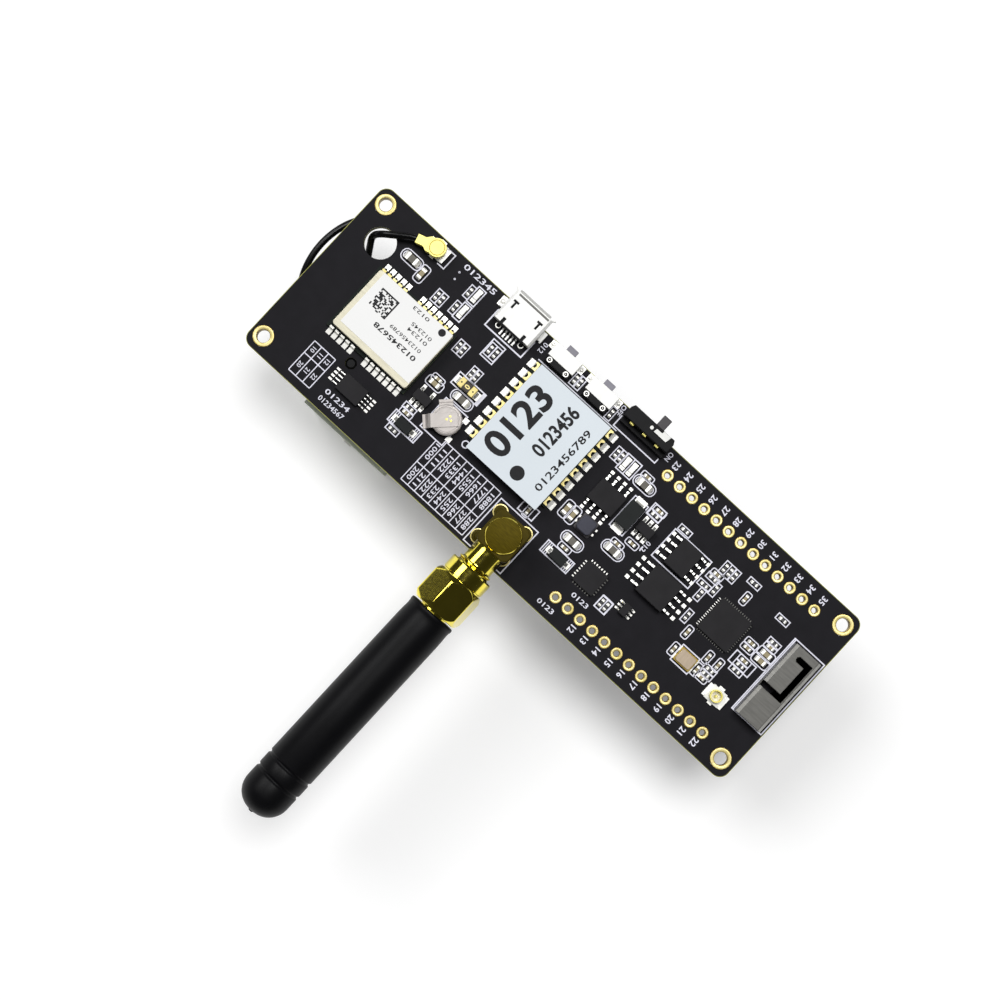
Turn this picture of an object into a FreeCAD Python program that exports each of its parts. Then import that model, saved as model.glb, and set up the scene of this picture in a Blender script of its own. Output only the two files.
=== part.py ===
import FreeCAD, Part

import math
import os

from FreeCAD import Vector

os.makedirs("parts", exist_ok=True)

# A radio and positioning development board with a screwed-on stub antenna.
# Millimetres. The origin is the centre of the four mounting holes on the board's top face.
# +X runs along the board to the stamped antenna, +Y to the edge with the sockets and buttons.

# Driving dimensions of the board
board_length = 100.0
board_width = 32.7
board_thickness = 1.6
board_offset_x = 0.1
board_offset_y = -0.1
corner_radius = 1.7
mount_inset_x = 2.25
mount_inset_y = 2.5
mount_ring_diameter = 3.25
mount_hole_diameter = 2.1
plating = 0.05
cable_hole = (-44.3, 8.93)
cable_hole_diameter = 5.1
peg_hole = (-34.95, -7.8)
peg_hole_diameter = 1.8

# The board's edges and the spacing of its mounting holes follow from these
board_right_x = board_offset_x + board_length / 2
board_socket_y = board_offset_y + board_width / 2
mount_spacing_x = board_length - 2 * mount_inset_x
mount_spacing_y = board_width - 2 * mount_inset_y

# The two rows of header holes
header_pitch = 2.54
header_count = 13
header_row_inset = 3.65
header_end_inset = 7.08
header_row_shift = -0.08
header_row_spacing = board_width - 2 * header_row_inset
header_center = (board_right_x - header_end_inset - header_pitch * (header_count - 1) / 2,
                 board_offset_y + header_row_shift)
header_pad_diameter = 1.85
header_hole_diameter = 1.0
pad_sides = 8

# The radio module
radio_center = (-6.0, 4.1)
radio_size = 16.0
module_board_thickness = 0.8
radio_pad_pitch = 2.0
radio_pad_count = 8
radio_pad_width = 1.4
radio_pad_foot = 1.05
radio_pad_land = 0.7
edge_plating = 0.1
can_sheet = 0.2
radio_can = (14.3, 14.6)
radio_can_height = 2.2
radio_label_size = (14.3, 17.05)
radio_label_offset = (0.05, -0.88)
label_thickness = 0.12
hidden_chip = (5.0, 5.0, 0.9)

# The positioning module
gps_center = (-33.8, 0.25)
gps_size = (16.0, 12.2)
gps_can = (15.2, 11.1)
gps_can_offset = (0.25, 0.1)
gps_can_height = 1.6
gps_label_size = (14.2, 10.0)
gps_label_offset = (0.62, 0.6)
gps_label_thickness = 0.06
gps_pad = (0.8, 1.05, 0.3)
gps_pad_pitch = 1.1
gps_pad_gap = 3.0
gps_pad_edge = 1.0

# The micro USB socket
usb_center_x = -20.0
usb_width = 7.3
usb_bottom_width = 5.6
usb_height = 2.55
usb_sheet = 0.3
usb_length = 5.4
usb_overhang = 1.5
usb_mouth_y = board_socket_y + usb_overhang
usb_rear_y = usb_mouth_y - usb_length
usb_bevel = 0.35
usb_side_height = 0.9
usb_window_offset = 2.425
usb_window_cap = (1.0, 0.35)
usb_window_cap_inset = 1.55
usb_window_stem = (0.35, 1.05)
usb_notch_offset = 2.05
usb_notch = (0.55, 0.9)
usb_leg_inset = 1.75
usb_leg_length = 1.7
usb_leg_reach = 0.7
usb_leg_height = 1.4
usb_flare = 0.42
usb_lip_width = 6.2
usb_contact_pitch = 0.65
usb_contact_count = 5
usb_standoff = 0.1

# The two side push buttons
button_positions = {"reset_button": -11.1, "user_button": -3.4}
button_width = 4.6
button_inset = 0.15
button_depth = 3.35
button_front_y = board_socket_y - button_inset
button_rear_y = button_front_y - button_depth
button_height = 1.6
button_cover_depth = 2.35
button_sheet = 0.2
plunger_width = 1.8
plunger_height = 0.9
plunger_reach = 1.0
plunger_travel = 0.25
plunger_clearance = 0.08

# The slide power switch
switch_center_x = 5.65
switch_length = 8.7
switch_overhang = 0.6
switch_depth = 2.25
switch_step_depth = 0.9
switch_front_y = board_socket_y + switch_overhang
switch_rear_y = switch_front_y - switch_depth
switch_step_y = switch_rear_y - switch_step_depth
switch_height = 3.6
switch_corner = (0.35, 0.65)
switch_window_depth = 1.2
switch_step_height = 1.3
switch_roof = 0.6
knob_width = 1.5
knob_height = 1.5
knob_reach = 2.0
knob_center_x = 6.7
knob_travel = 2.1
knob_clearance = 0.1
switch_pin_pitch = 2.53
switch_pin = (0.75, 0.3)

# The right-angle coaxial jack and the antenna on it
jack_axis_x = 0.4
jack_axis_z = 4.0
jack_center_y = -11.5
jack_leg_center_x = 0.0
jack_leg_pitch = 5.08
jack_leg_diameter = 1.0
jack_leg_below = 0.8
jack_leg_hole_diameter = 1.2
jack_block = 6.3
jack_block_height = 7.3
jack_corner_radius = 1.1
jack_bore_diameter = 4.2
jack_cap_diameter = 5.7
jack_cap_thickness = 0.4
jack_cap_bevel = 0.22
jack_neck_diameter = 5.3
jack_thread_diameter = 6.1
jack_thread_start_y = -17.6
jack_barrel_end_y = -23.4
center_pin_diameter = 1.3
running_clearance = 0.05
nut_front_y = -18.4
nut_collar_diameter = 7.5
nut_hex_start_y = -20.9
nut_rear_y = -26.87
nut_across_flats = 7.85
nut_turn_deg = -13.0
nut_rear_wall = 0.8
nut_chamfer = 0.35
ferrule_diameter = 4.9
ferrule_flange_length = 1.6
ferrule_depth_in_sheath = 8.0
sheath_diameter = 8.0
sheath_start_y = -27.2
sheath_end_y = -67.7
sheath_dome = 3.7
dome_angles = (0, 38, 68)

# The stamped antenna
stamped_inset = 1.0
stamped_width = 4.95
stamped_x = (board_right_x - stamped_inset - stamped_width, board_right_x - stamped_inset)
stamped_y = (-7.0, 6.85)
stamped_height = 3.0
stamped_sheet = 0.25
stamped_bend = 0.5
slot_width = 0.95

# The snap-on coaxial jacks, the plug and its cable
coax_jack_positions = ((40.7, -7.35), (-37.1, 14.15))
coax_base = (2.7, 2.6, 0.35)
coax_ring_diameter = 2.0
coax_ring_wall = 0.2
coax_ring_height = 1.15
coax_pin_diameter = 0.4
plug_turn_deg = 197.0
plug_diameter = 2.9
plug_tail_length = 3.45
plug_tail_width = 1.45
plug_bottom = 0.75
plug_top = 2.15
cable_diameter = 1.13
cable_axis_z = 1.4
cable_sides = 6
cable_exit = 1.8
cable_end_z = -8.8

# The battery holder under the board, with the ceramic antenna on its long side
holder_center = (0.6, 0.1)
holder_length = 77.0
holder_width = 20.8
holder_height = 20.0
holder_wall = 1.0
holder_end_wall = 1.6
holder_bevel = 3.6
holder_scallop_length = 42.0
holder_scallop_depth = 4.5
contact_width = 7.0
contact_sheet = 0.3
contact_foot = 2.6
contact_drop = 13.0
contact_spring = 4.3
patch_center_x = -28.95
patch_size = 16.0
patch_ceramic_thickness = 3.9
patch_board_thickness = 0.8
patch_shield_height = 2.05
patch_shield_size = 14.0
electrode_size = 12.4
electrode_thickness = 0.04
feed_bump_diameter = 1.8
feed_bump_height = 0.3
feed_offset = 0.4

# The backup cell
cell_center = (-18.1, -4.25)
cell_diameter = 4.8
cell_height = 1.3
cell_lift = 0.25
cell_tab_width = 2.2
cell_tab_sheet = 0.15
cell_tab_reach = 3.3

# Chips: centre, body size, height above the board
chip_standoff = 0.1
processor_center = (34.35, 1.5)
processor_size = (6.0, 6.0, 0.85)
usb_bridge_center = (14.4, -7.1)
usb_bridge_size = (4.0, 4.0, 0.85)
flash_center = (22.85, 4.75)
flash_size = (3.9, 4.9, 1.45)
memory_center = (23.15, -1.15)
memory_size = (5.25, 5.25, 1.8)
charger_center = (7.95, 3.65)
charger_size = (4.9, 3.9, 1.45)
protector_center = (-32.0, -10.67)
protector_size = (4.4, 3.0, 1.0)
regulator_center = (-23.2, -4.25)
regulator_size = (2.9, 1.6, 1.1)
converter_center = (15.6, 4.0)
converter_size = (2.9, 1.6, 1.1)
logic_center = (21.6, -7.05)
logic_size = (1.25, 2.0, 0.95)
wide_pitch = 1.27
fine_pitch = 0.65
sot_pitch = 0.95
lead_sheet = 0.2
short_lead = 0.7

# Other parts on the board
inductor_center = (8.55, -1.6)
inductor_size = 3.0
inductor_height = 1.5
tantalum_center = (-19.2, 1.6)
tantalum_size = (3.2, 1.6, 1.5)
crystal_center = (33.55, -6.35)
crystal_size = (3.2, 2.5, 0.75)
diode_small = (2.7, 1.6, 1.1)
diode_large = (2.6, 4.3, 2.1)
small_diode_centers = ((-22.4, -9.3), (8.7, -8.15))
large_diode_center = (12.35, 4.0)
diode_tab_width = (0.6, 1.5)
diode_tab_reach = (0.55, 0.5)
led_size = (0.85, 1.8, 0.6)
led_positions = ((-27.75, 12.95), (-27.75, 9.7), (6.55, 9.5), (7.9, 9.5))

# Length, width and height of the chip resistors and capacitors
small_chip = (1.0, 0.5, 0.38)
medium_chip = (1.6, 0.8, 0.6)
large_chip = (2.0, 1.2, 0.85)

# Chip capacitors: centre, direction of the long side, size
capacitor_places = (
    (-38.95, 10.4, "x", large_chip), (-36.35, 9.75, "y", medium_chip),
    (-23.4, -0.5, "x", small_chip), (-23.35, -1.35, "x", medium_chip),
    (-23.5, -7.65, "x", small_chip), (-18.55, -0.4, "x", large_chip),
    (10.45, 10.25, "x", small_chip), (10.95, 9.0, "x", large_chip),
    (4.6, -1.75, "y", medium_chip), (5.95, -1.8, "y", medium_chip),
    (8.6, -4.85, "x", large_chip), (8.45, -6.4, "x", small_chip),
    (15.4, 7.6, "x", small_chip), (15.6, 1.1, "x", small_chip),
    (14.1, -1.65, "x", large_chip), (13.95, -0.45, "x", small_chip),
    (28.4, 6.45, "x", small_chip), (34.05, 6.7, "y", small_chip),
    (30.95, -3.1, "y", small_chip), (31.15, -6.4, "y", small_chip),
    (35.9, -3.8, "y", small_chip), (35.85, -6.35, "y", small_chip),
    (37.85, -3.65, "y", small_chip), (39.35, 2.3, "x", small_chip),
    (39.35, 1.3, "x", small_chip), (41.9, 3.75, "x", small_chip),
    (42.15, 2.55, "x", medium_chip), (42.15, 1.2, "x", medium_chip),
    (40.35, -0.45, "x", small_chip), (37.15, -6.8, "x", small_chip),
    (0.5, -5.95, "y", small_chip),
)

# Chip resistors: centre and direction of the long side
resistor_places = (
    (-32.3, 8.85, "y"), (-31.35, 8.85, "y"), (-29.0, 12.7, "y"), (-29.05, 9.4, "y"),
    (-24.55, 5.4, "y"), (-23.65, 5.4, "y"), (-20.2, 3.75, "y"), (-19.35, 3.75, "y"),
    (-20.65, 8.32, "y"), (-19.55, 8.32, "y"), (-23.6, -6.75, "x"), (-23.3, -10.95, "x"),
    (-7.85, 13.85, "y"), (-7.0, 13.85, "y"), (-0.3, 13.65, "y"),
    (4.5, 9.75, "y"), (5.4, 9.75, "y"), (15.25, 6.7, "x"), (20.25, 8.1, "x"),
    (28.6, 8.05, "y"), (29.6, 8.05, "y"), (30.5, 8.05, "y"), (28.3, 5.6, "x"),
    (29.7, 4.55, "y"), (28.0, 3.95, "x"), (28.45, 2.5, "y"), (33.5, 9.3, "x"),
    (29.25, -1.3, "y"), (40.45, 8.15, "x"), (18.25, -8.7, "y"), (19.2, -8.7, "y"),
    (41.9, 4.6, "x"), (37.4, -5.05, "x"), (37.4, -5.95, "x"),
    (40.35, -1.4, "x"), (40.4, -2.4, "x"),
)

# The cable's route, from the plug through the board's hole, once round under the board
# and out past the short edge, then along the holder's end to the ceramic antenna
cable_route = (
    (-44.4, 11.5, 1.4), (-46.05, 9.7, -0.4), (-45.95, 7.3, -2.9), (-44.9, 4.5, -4.3),
    (-42.3, 2.9, -5.1), (-39.6, 4.3, -5.7), (-38.9, 7.7, -6.1), (-40.2, 11.3, -6.4),
    (-43.8, 13.5, -6.5), (-47.7, 12.7, -6.1), (-50.6, 9.4, -5.5), (-51.9, 5.0, -5.1),
    (-51.75, 0.4, -5.1), (-50.2, -3.9, -5.7), (-46.6, -7.6, -6.8), (-41.8, -10.4, -8.0),
    (-38.6, -11.3, -8.6),
)

# Levels that follow from the sizes above
board_bottom = -board_thickness
holder_bottom = board_bottom - holder_height
radio_can_top = module_board_thickness + radio_can_height
gps_can_top = module_board_thickness + gps_can_height
patch_top = holder_bottom + patch_size
holder_side_y = holder_center[1] - holder_width / 2


def save(name, shape):
    shape.exportStep("parts/" + name + ".step")


def box(x0, x1, y0, y1, z0, z1):
    return Part.makeBox(x1 - x0, y1 - y0, z1 - z0, Vector(x0, y0, z0))


def block(center, size, bottom):
    x, y = center
    length, width, height = size
    return box(x - length / 2, x + length / 2, y - width / 2, y + width / 2, bottom, bottom + height)


def upright(center, radius, bottom, top):
    return Part.makeCylinder(radius, top - bottom, Vector(center[0], center[1], bottom))


def prism(points, bottom, top):
    corners = [Vector(x, y, bottom) for x, y in points]
    face = Part.Face(Part.makePolygon(corners + corners[:1]))
    return face.extrude(Vector(0, 0, top - bottom))


def along_x(points, x0, x1):
    corners = [Vector(x0, y, z) for y, z in points]
    face = Part.Face(Part.makePolygon(corners + corners[:1]))
    return face.extrude(Vector(x1 - x0, 0, 0))


def along_y(points, y0, y1):
    corners = [Vector(x, y0, z) for x, z in points]
    face = Part.Face(Part.makePolygon(corners + corners[:1]))
    return face.extrude(Vector(0, y1 - y0, 0))


def polygon(center, diameter, sides):
    x, y = center
    radius = diameter / 2 / math.cos(math.pi / sides)
    turns = [2 * math.pi * (i + 0.5) / sides for i in range(sides)]
    return [(x + radius * math.cos(t), y + radius * math.sin(t)) for t in turns]


def rounded_plate(center, size, radius, bottom, top):
    plate = block(center, (size[0], size[1], top - bottom), bottom)
    return plate.makeFillet(radius, upright_edges(plate))


def upright_edges(shape):
    found = []
    for edge in shape.Edges:
        ends = [v.Point for v in edge.Vertexes]
        if len(ends) == 2 and abs(ends[0].x - ends[1].x) + abs(ends[0].y - ends[1].y) < 1e-6:
            found.append(edge)
    return found


def mount_positions():
    signs = ((-1, -1), (-1, 1), (1, -1), (1, 1))
    return [(sx * mount_spacing_x / 2, sy * mount_spacing_y / 2) for sx, sy in signs]


def header_positions():
    first = header_center[0] - header_pitch * (header_count - 1) / 2
    rows = (header_center[1] - header_row_spacing / 2, header_center[1] + header_row_spacing / 2)
    return [(first + i * header_pitch, y) for y in rows for i in range(header_count)]


def jack_leg_positions():
    half = jack_leg_pitch / 2
    signs = ((-1, -1), (-1, 1), (1, -1), (1, 1))
    return [(jack_leg_center_x + sx * half, jack_center_y + sy * half) for sx, sy in signs]


def plated_tube(center, diameter, bore, sides, round_bore=False):
    low, high = board_bottom - plating, plating
    outer = prism(polygon(center, diameter, sides), low, high)
    if round_bore:
        return outer.cut(upright(center, bore / 2, low, high))
    return outer.cut(prism(polygon(center, bore, sides), low, high))


def main_board():
    center = (board_offset_x, board_offset_y)
    size = (board_length, board_width)
    board = rounded_plate(center, size, corner_radius, board_bottom, 0)
    cuts = [upright(cable_hole, cable_hole_diameter / 2, board_bottom, 0)]
    cuts.append(prism(polygon(peg_hole, peg_hole_diameter, pad_sides), board_bottom, 0))
    for place in mount_positions():
        cuts.append(prism(polygon(place, mount_ring_diameter, pad_sides), board_bottom, 0))
    for place in header_positions():
        cuts.append(prism(polygon(place, header_pad_diameter, pad_sides), board_bottom, 0))
    for place in jack_leg_positions() + [(jack_axis_x, jack_center_y)]:
        cuts.append(prism(polygon(place, jack_leg_hole_diameter, pad_sides), board_bottom, 0))
    return board.cut(Part.makeCompound(cuts))


def plated_holes():
    rings = [plated_tube(p, mount_ring_diameter, mount_hole_diameter, pad_sides, True)
             for p in mount_positions()]
    save("mounting_rings", Part.makeCompound(rings))
    pads = [plated_tube(p, header_pad_diameter, header_hole_diameter, pad_sides)
            for p in header_positions()]
    save("header_pads", Part.makeCompound(pads))


def radio_module():
    x, y = radio_center
    half = radio_size / 2
    top = module_board_thickness
    pads = []
    for side in (-1, 1):
        edge = x + side * half
        foot, land, skin = side * radio_pad_foot, side * radio_pad_land, side * edge_plating
        points = [(edge, 0), (edge + foot, 0), (edge + foot, plating), (edge + skin, plating),
                  (edge + skin, top + plating), (edge - land, top + plating), (edge - land, top),
                  (edge, top)]
        for i in range(radio_pad_count):
            pad_y = y + (i - (radio_pad_count - 1) / 2) * radio_pad_pitch
            pads.append(along_y(points, pad_y - radio_pad_width / 2, pad_y + radio_pad_width / 2))
    save("radio_board", block(radio_center, (radio_size, radio_size, top), 0))
    save("radio_pads", Part.makeCompound(pads))
    save("radio_shield", can(radio_center, radio_can, radio_can_height))
    label_center = (x + radio_label_offset[0], y + radio_label_offset[1])
    label_size = (radio_label_size[0], radio_label_size[1], label_thickness)
    save("radio_label", block(label_center, label_size, radio_can_top))


def can(center, size, height):
    bottom = module_board_thickness
    shell = block(center, (size[0], size[1], height), bottom)
    shell = shell.makeChamfer(2 * can_sheet, upright_edges(shell))
    inside = (size[0] - 2 * can_sheet, size[1] - 2 * can_sheet, height - can_sheet)
    inner = block(center, inside, bottom)
    return shell.cut(inner.makeChamfer(1.5 * can_sheet, upright_edges(inner)))


def gps_module():
    x, y = gps_center
    save("gps_board", block(gps_center, gps_size + (module_board_thickness,), 0))
    can_center = (x + gps_can_offset[0], y + gps_can_offset[1])
    save("gps_shield", can(can_center, gps_can, gps_can_height))
    label_center = (x + gps_label_offset[0], y + gps_label_offset[1])
    label_size = (gps_label_size[0], gps_label_size[1], gps_label_thickness)
    save("gps_label", block(label_center, label_size, gps_can_top))
    places = []
    position = -gps_size[0] / 2 + gps_pad_edge
    for i in range(12):
        places.append(x + position)
        position += gps_pad_gap if i == 4 else gps_pad_pitch
    pads = []
    offset = (gps_size[1] + gps_pad[1]) / 2
    for side in (-1, 1):
        pads += [block((pad_x, y + side * offset), gps_pad, 0) for pad_x in places]
    save("gps_pads", Part.makeCompound(pads))
    chips = [block(c, hidden_chip, module_board_thickness) for c in (gps_center, radio_center)]
    save("module_chips", Part.makeCompound(chips))


def usb_profile(inset):
    top = usb_standoff + usb_height - inset
    bottom = usb_standoff + inset
    wide, narrow = usb_width / 2 - inset, usb_bottom_width / 2 - inset
    half = [(narrow, bottom), (wide, bottom + usb_side_height), (wide, top - usb_bevel),
            (wide - usb_bevel, top)]
    points = [(usb_center_x + x, z) for x, z in half]
    return points + [(usb_center_x - x, z) for x, z in reversed(half)]


def usb_socket():
    x = usb_center_x
    top = usb_standoff + usb_height
    shell = along_y(usb_profile(0), usb_rear_y, usb_mouth_y)
    shell = shell.cut(along_y(usb_profile(usb_sheet), usb_rear_y, usb_mouth_y))
    cuts = []
    cap_y = usb_mouth_y - usb_window_cap_inset
    stem_y = cap_y - (usb_window_cap[1] + usb_window_stem[1]) / 2
    for side in (-1, 1):
        window_x = x + side * usb_window_offset
        places = (((window_x, cap_y), usb_window_cap), ((window_x, stem_y), usb_window_stem),
                  ((x + side * usb_notch_offset, usb_rear_y + usb_notch[1] / 2), usb_notch))
        for place, size in places:
            cuts.append(block(place, size + (usb_sheet,), top - usb_sheet))
    shell = shell.cut(Part.makeCompound(cuts))
    lip = usb_lip_width / 2
    reach = usb_mouth_y + usb_flare
    upper = along_x([(usb_mouth_y, top), (usb_mouth_y, top - usb_sheet),
                     (reach, top - usb_sheet + usb_flare), (reach - 0.1, top + usb_flare)],
                    x - lip, x + lip)
    floor = usb_standoff
    half_floor = usb_bottom_width / 2 - 0.2
    lower = along_x([(usb_mouth_y, floor), (usb_mouth_y, floor + usb_sheet),
                     (reach, floor + usb_sheet - usb_flare), (reach - 0.1, floor - usb_flare)],
                    x - half_floor, x + half_floor)
    parts = [upper, lower]
    leg_front = usb_mouth_y - usb_leg_inset
    leg_rear = leg_front - usb_leg_length
    for side in (-1, 1):
        wall = x + side * usb_width / 2
        inner = wall - side * usb_sheet
        points = [(wall, usb_mouth_y), (inner, usb_mouth_y),
                  (inner + side * usb_flare, reach), (wall + side * usb_flare, reach - 0.1)]
        parts.append(prism(points, top - 1.35, top - 0.4))
        near, far = sorted((wall, wall + side * usb_leg_reach))
        parts.append(box(near, far, leg_rear, leg_front, 0, usb_sheet))
        near, far = sorted((wall, wall - side * usb_sheet))
        parts.append(box(near, far, leg_rear, leg_front, 0, usb_leg_height))
    save("usb_shell", shell.fuse(parts).removeSplitter())
    inner_top = top - usb_sheet
    rear = box(x - 2.4, x + 2.4, usb_rear_y - 0.25, usb_rear_y + 1.2, usb_standoff + usb_sheet,
               inner_top)
    tongue = box(x - 1.85, x + 1.85, usb_rear_y + 1.2, usb_mouth_y - 0.7, 1.35, 1.9)
    contacts = []
    for i in range(usb_contact_count):
        center = x + (i - (usb_contact_count - 1) / 2) * usb_contact_pitch
        points = [(usb_rear_y - 1.15, 0), (usb_rear_y - 1.15, 0.15), (usb_rear_y - 0.55, 0.15),
                  (usb_rear_y - 0.25, 0.9), (usb_rear_y - 0.25, 0)]
        contacts.append(along_x(points, center - 0.13, center + 0.13))
        contacts.append(box(center - 0.13, center + 0.13, usb_rear_y + 1.3, usb_mouth_y - 1.0,
                            1.27, 1.35))
    save("usb_tongue", rear.fuse(tongue))
    save("usb_contacts", Part.makeCompound(contacts))


def push_buttons():
    bases, covers = [], []
    plunger_low = 0.35
    plunger_top = plunger_low + plunger_height
    head_depth = 0.7
    head_rear = button_front_y - 0.3 - head_depth
    gap = plunger_clearance
    half = button_width / 2
    for name, x in button_positions.items():
        base = box(x - half, x + half, button_rear_y, button_front_y, 0, button_height)
        stem = plunger_width / 2
        head = stem + 0.45
        room = plunger_travel + 0.1
        base = base.cut(box(x - head - gap, x + head + gap, head_rear - room,
                            head_rear + head_depth + gap, plunger_low - gap, plunger_top + gap))
        base = base.cut(box(x - stem - gap, x + stem + gap, head_rear, button_front_y,
                            plunger_low - gap, plunger_top + gap))
        bases.append(base)
        rear = button_front_y - button_cover_depth
        cover = box(x - half - button_sheet, x + half + button_sheet, rear, button_front_y,
                    0, button_height + button_sheet)
        cover = cover.cut(box(x - half, x + half, rear, button_front_y, 0, button_height))
        feet = []
        for side in (-1, 1):
            edge = x + side * (half + button_sheet)
            near, far = sorted((edge, edge + side * 0.55))
            feet.append(box(near, far, button_front_y - 1.05, button_front_y - 0.1, 0, button_sheet))
        covers.append(cover.fuse(feet))
        front = button_front_y + plunger_reach
        plunger = box(x - stem, x + stem, head_rear, front, plunger_low, plunger_top)
        plunger = plunger.fuse(box(x - head, x + head, head_rear, head_rear + head_depth,
                                   plunger_low, plunger_top))
        save(name + "_plunger", plunger.removeSplitter())
    save("button_bases", Part.makeCompound(bases))
    save("button_covers", Part.makeCompound(covers))


def power_switch():
    x = switch_center_x
    half = switch_length / 2
    floor_z = 0.9
    bevel, bevel_y = switch_corner[0], switch_front_y - switch_corner[1]
    outline = [(x - half, switch_step_y), (x + half, switch_step_y), (x + half, bevel_y),
               (x + half - bevel, switch_front_y), (x - half + bevel, switch_front_y),
               (x - half, bevel_y)]
    body = prism(outline, 0, switch_height)
    body = body.cut(box(x - half, x + half, switch_step_y, switch_rear_y,
                        switch_step_height, switch_height))
    knob_low, knob_top = floor_z + knob_clearance, floor_z + knob_clearance + knob_height
    slider_half = 1.4
    slider_rear, slider_front = switch_front_y - 1.35, switch_front_y - 0.5
    left = knob_center_x - knob_travel
    body = body.cut(box(left - slider_half - knob_clearance,
                        knob_center_x + slider_half + knob_clearance,
                        slider_rear - knob_clearance, slider_front + knob_clearance,
                        floor_z, knob_top + knob_clearance))
    body = body.cut(box(left - knob_width / 2 - knob_clearance,
                        knob_center_x + knob_width / 2 + knob_clearance,
                        slider_front, switch_front_y, floor_z, knob_top + knob_clearance))
    window_rear = switch_front_y - switch_window_depth
    window_bend = switch_front_y - switch_window_depth * 0.4
    window = prism([(x + 0.65, window_rear), (x + 3.2, window_rear), (x + 3.4, switch_front_y),
                    (x + 1.9, switch_front_y), (x + 1.8, window_bend), (x + 0.8, window_bend)],
                   switch_height - switch_roof / 2, switch_height)
    body = body.cut(window)
    pins = []
    width, thick = switch_pin
    for i in (-1, 0, 1):
        pin_x = x + i * switch_pin_pitch
        rear = switch_rear_y - thick
        body = body.cut(box(pin_x - width / 2, pin_x + width / 2, rear, switch_rear_y, 0,
                            switch_step_height))
        pins.append(box(pin_x - width / 2, pin_x + width / 2, rear, switch_rear_y, 0,
                        switch_height * 0.75))
    save("switch_body", body)
    save("switch_pins", Part.makeCompound(pins))
    slider = box(knob_center_x - slider_half, knob_center_x + slider_half,
                 slider_rear, slider_front, knob_low, knob_top)
    stem = box(knob_center_x - knob_width / 2, knob_center_x + knob_width / 2,
               slider_rear, switch_front_y + knob_reach, knob_low, knob_top)
    save("switch_knob", slider.fuse(stem).removeSplitter())


def turned(profile):
    """Turn a closed profile of (radius, y) points about the antenna's axis."""
    corners = [Vector(jack_axis_x + r, y, jack_axis_z) for r, y in profile]
    face = Part.Face(Part.makePolygon(corners + corners[:1]))
    return face.revolve(Vector(jack_axis_x, 0, jack_axis_z), Vector(0, 1, 0), 360)


def coaxial_jack():
    front = jack_center_y - jack_block / 2
    center = (jack_axis_x, jack_center_y)
    base_z = plating
    body = rounded_plate(center, (jack_block, jack_block), jack_corner_radius, base_z,
                         jack_block_height)
    neck, thread = jack_neck_diameter / 2, jack_thread_diameter / 2
    barrel = turned([(0, front + 1.0), (neck, front + 1.0), (neck, jack_thread_start_y),
                     (thread, jack_thread_start_y), (thread, jack_barrel_end_y),
                     (0, jack_barrel_end_y)])
    legs = [prism(polygon(p, jack_leg_diameter, pad_sides), board_bottom - jack_leg_below, base_z)
            for p in jack_leg_positions()]
    body = body.fuse([barrel] + legs)
    bore = jack_bore_diameter / 2
    pin = center_pin_diameter / 2
    body = body.cut(turned([(0, jack_center_y), (bore, jack_center_y), (bore, jack_barrel_end_y),
                            (0, jack_barrel_end_y)]))
    well = jack_bore_diameter / math.sqrt(2)
    body = body.cut(block(center, (well, well, jack_block_height - base_z - 1.0), base_z + 1.0))
    body = body.cut(block(center, (2 * pin, 2 * pin, 1.0), base_z))
    save("jack_body", body)
    cap = prism(polygon(center, jack_cap_diameter, 2 * pad_sides), jack_block_height,
                jack_block_height + jack_cap_thickness)
    rim = [e for e in cap.Edges if e.BoundBox.ZMin > jack_block_height + 0.01]
    save("jack_cap", cap.makeChamfer(jack_cap_bevel, rim))
    ferrule_front = jack_barrel_end_y + 3.0
    insulator = turned([(0, jack_center_y - bore), (bore, jack_center_y - bore),
                        (bore, ferrule_front), (0, ferrule_front)])
    insulator = insulator.cut(along_y(polygon((jack_axis_x, jack_axis_z), center_pin_diameter,
                                              pad_sides), ferrule_front, jack_center_y))
    save("jack_insulator", insulator)
    section = polygon((jack_axis_x, jack_axis_z), center_pin_diameter, pad_sides)
    rod = along_y(section, ferrule_front - 1.2, jack_center_y + pin)
    drop = block(center, (0.7, 0.7, jack_axis_z - board_bottom + jack_leg_below),
                 board_bottom - jack_leg_below)
    save("jack_contact", rod.fuse(drop).removeSplitter())


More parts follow.
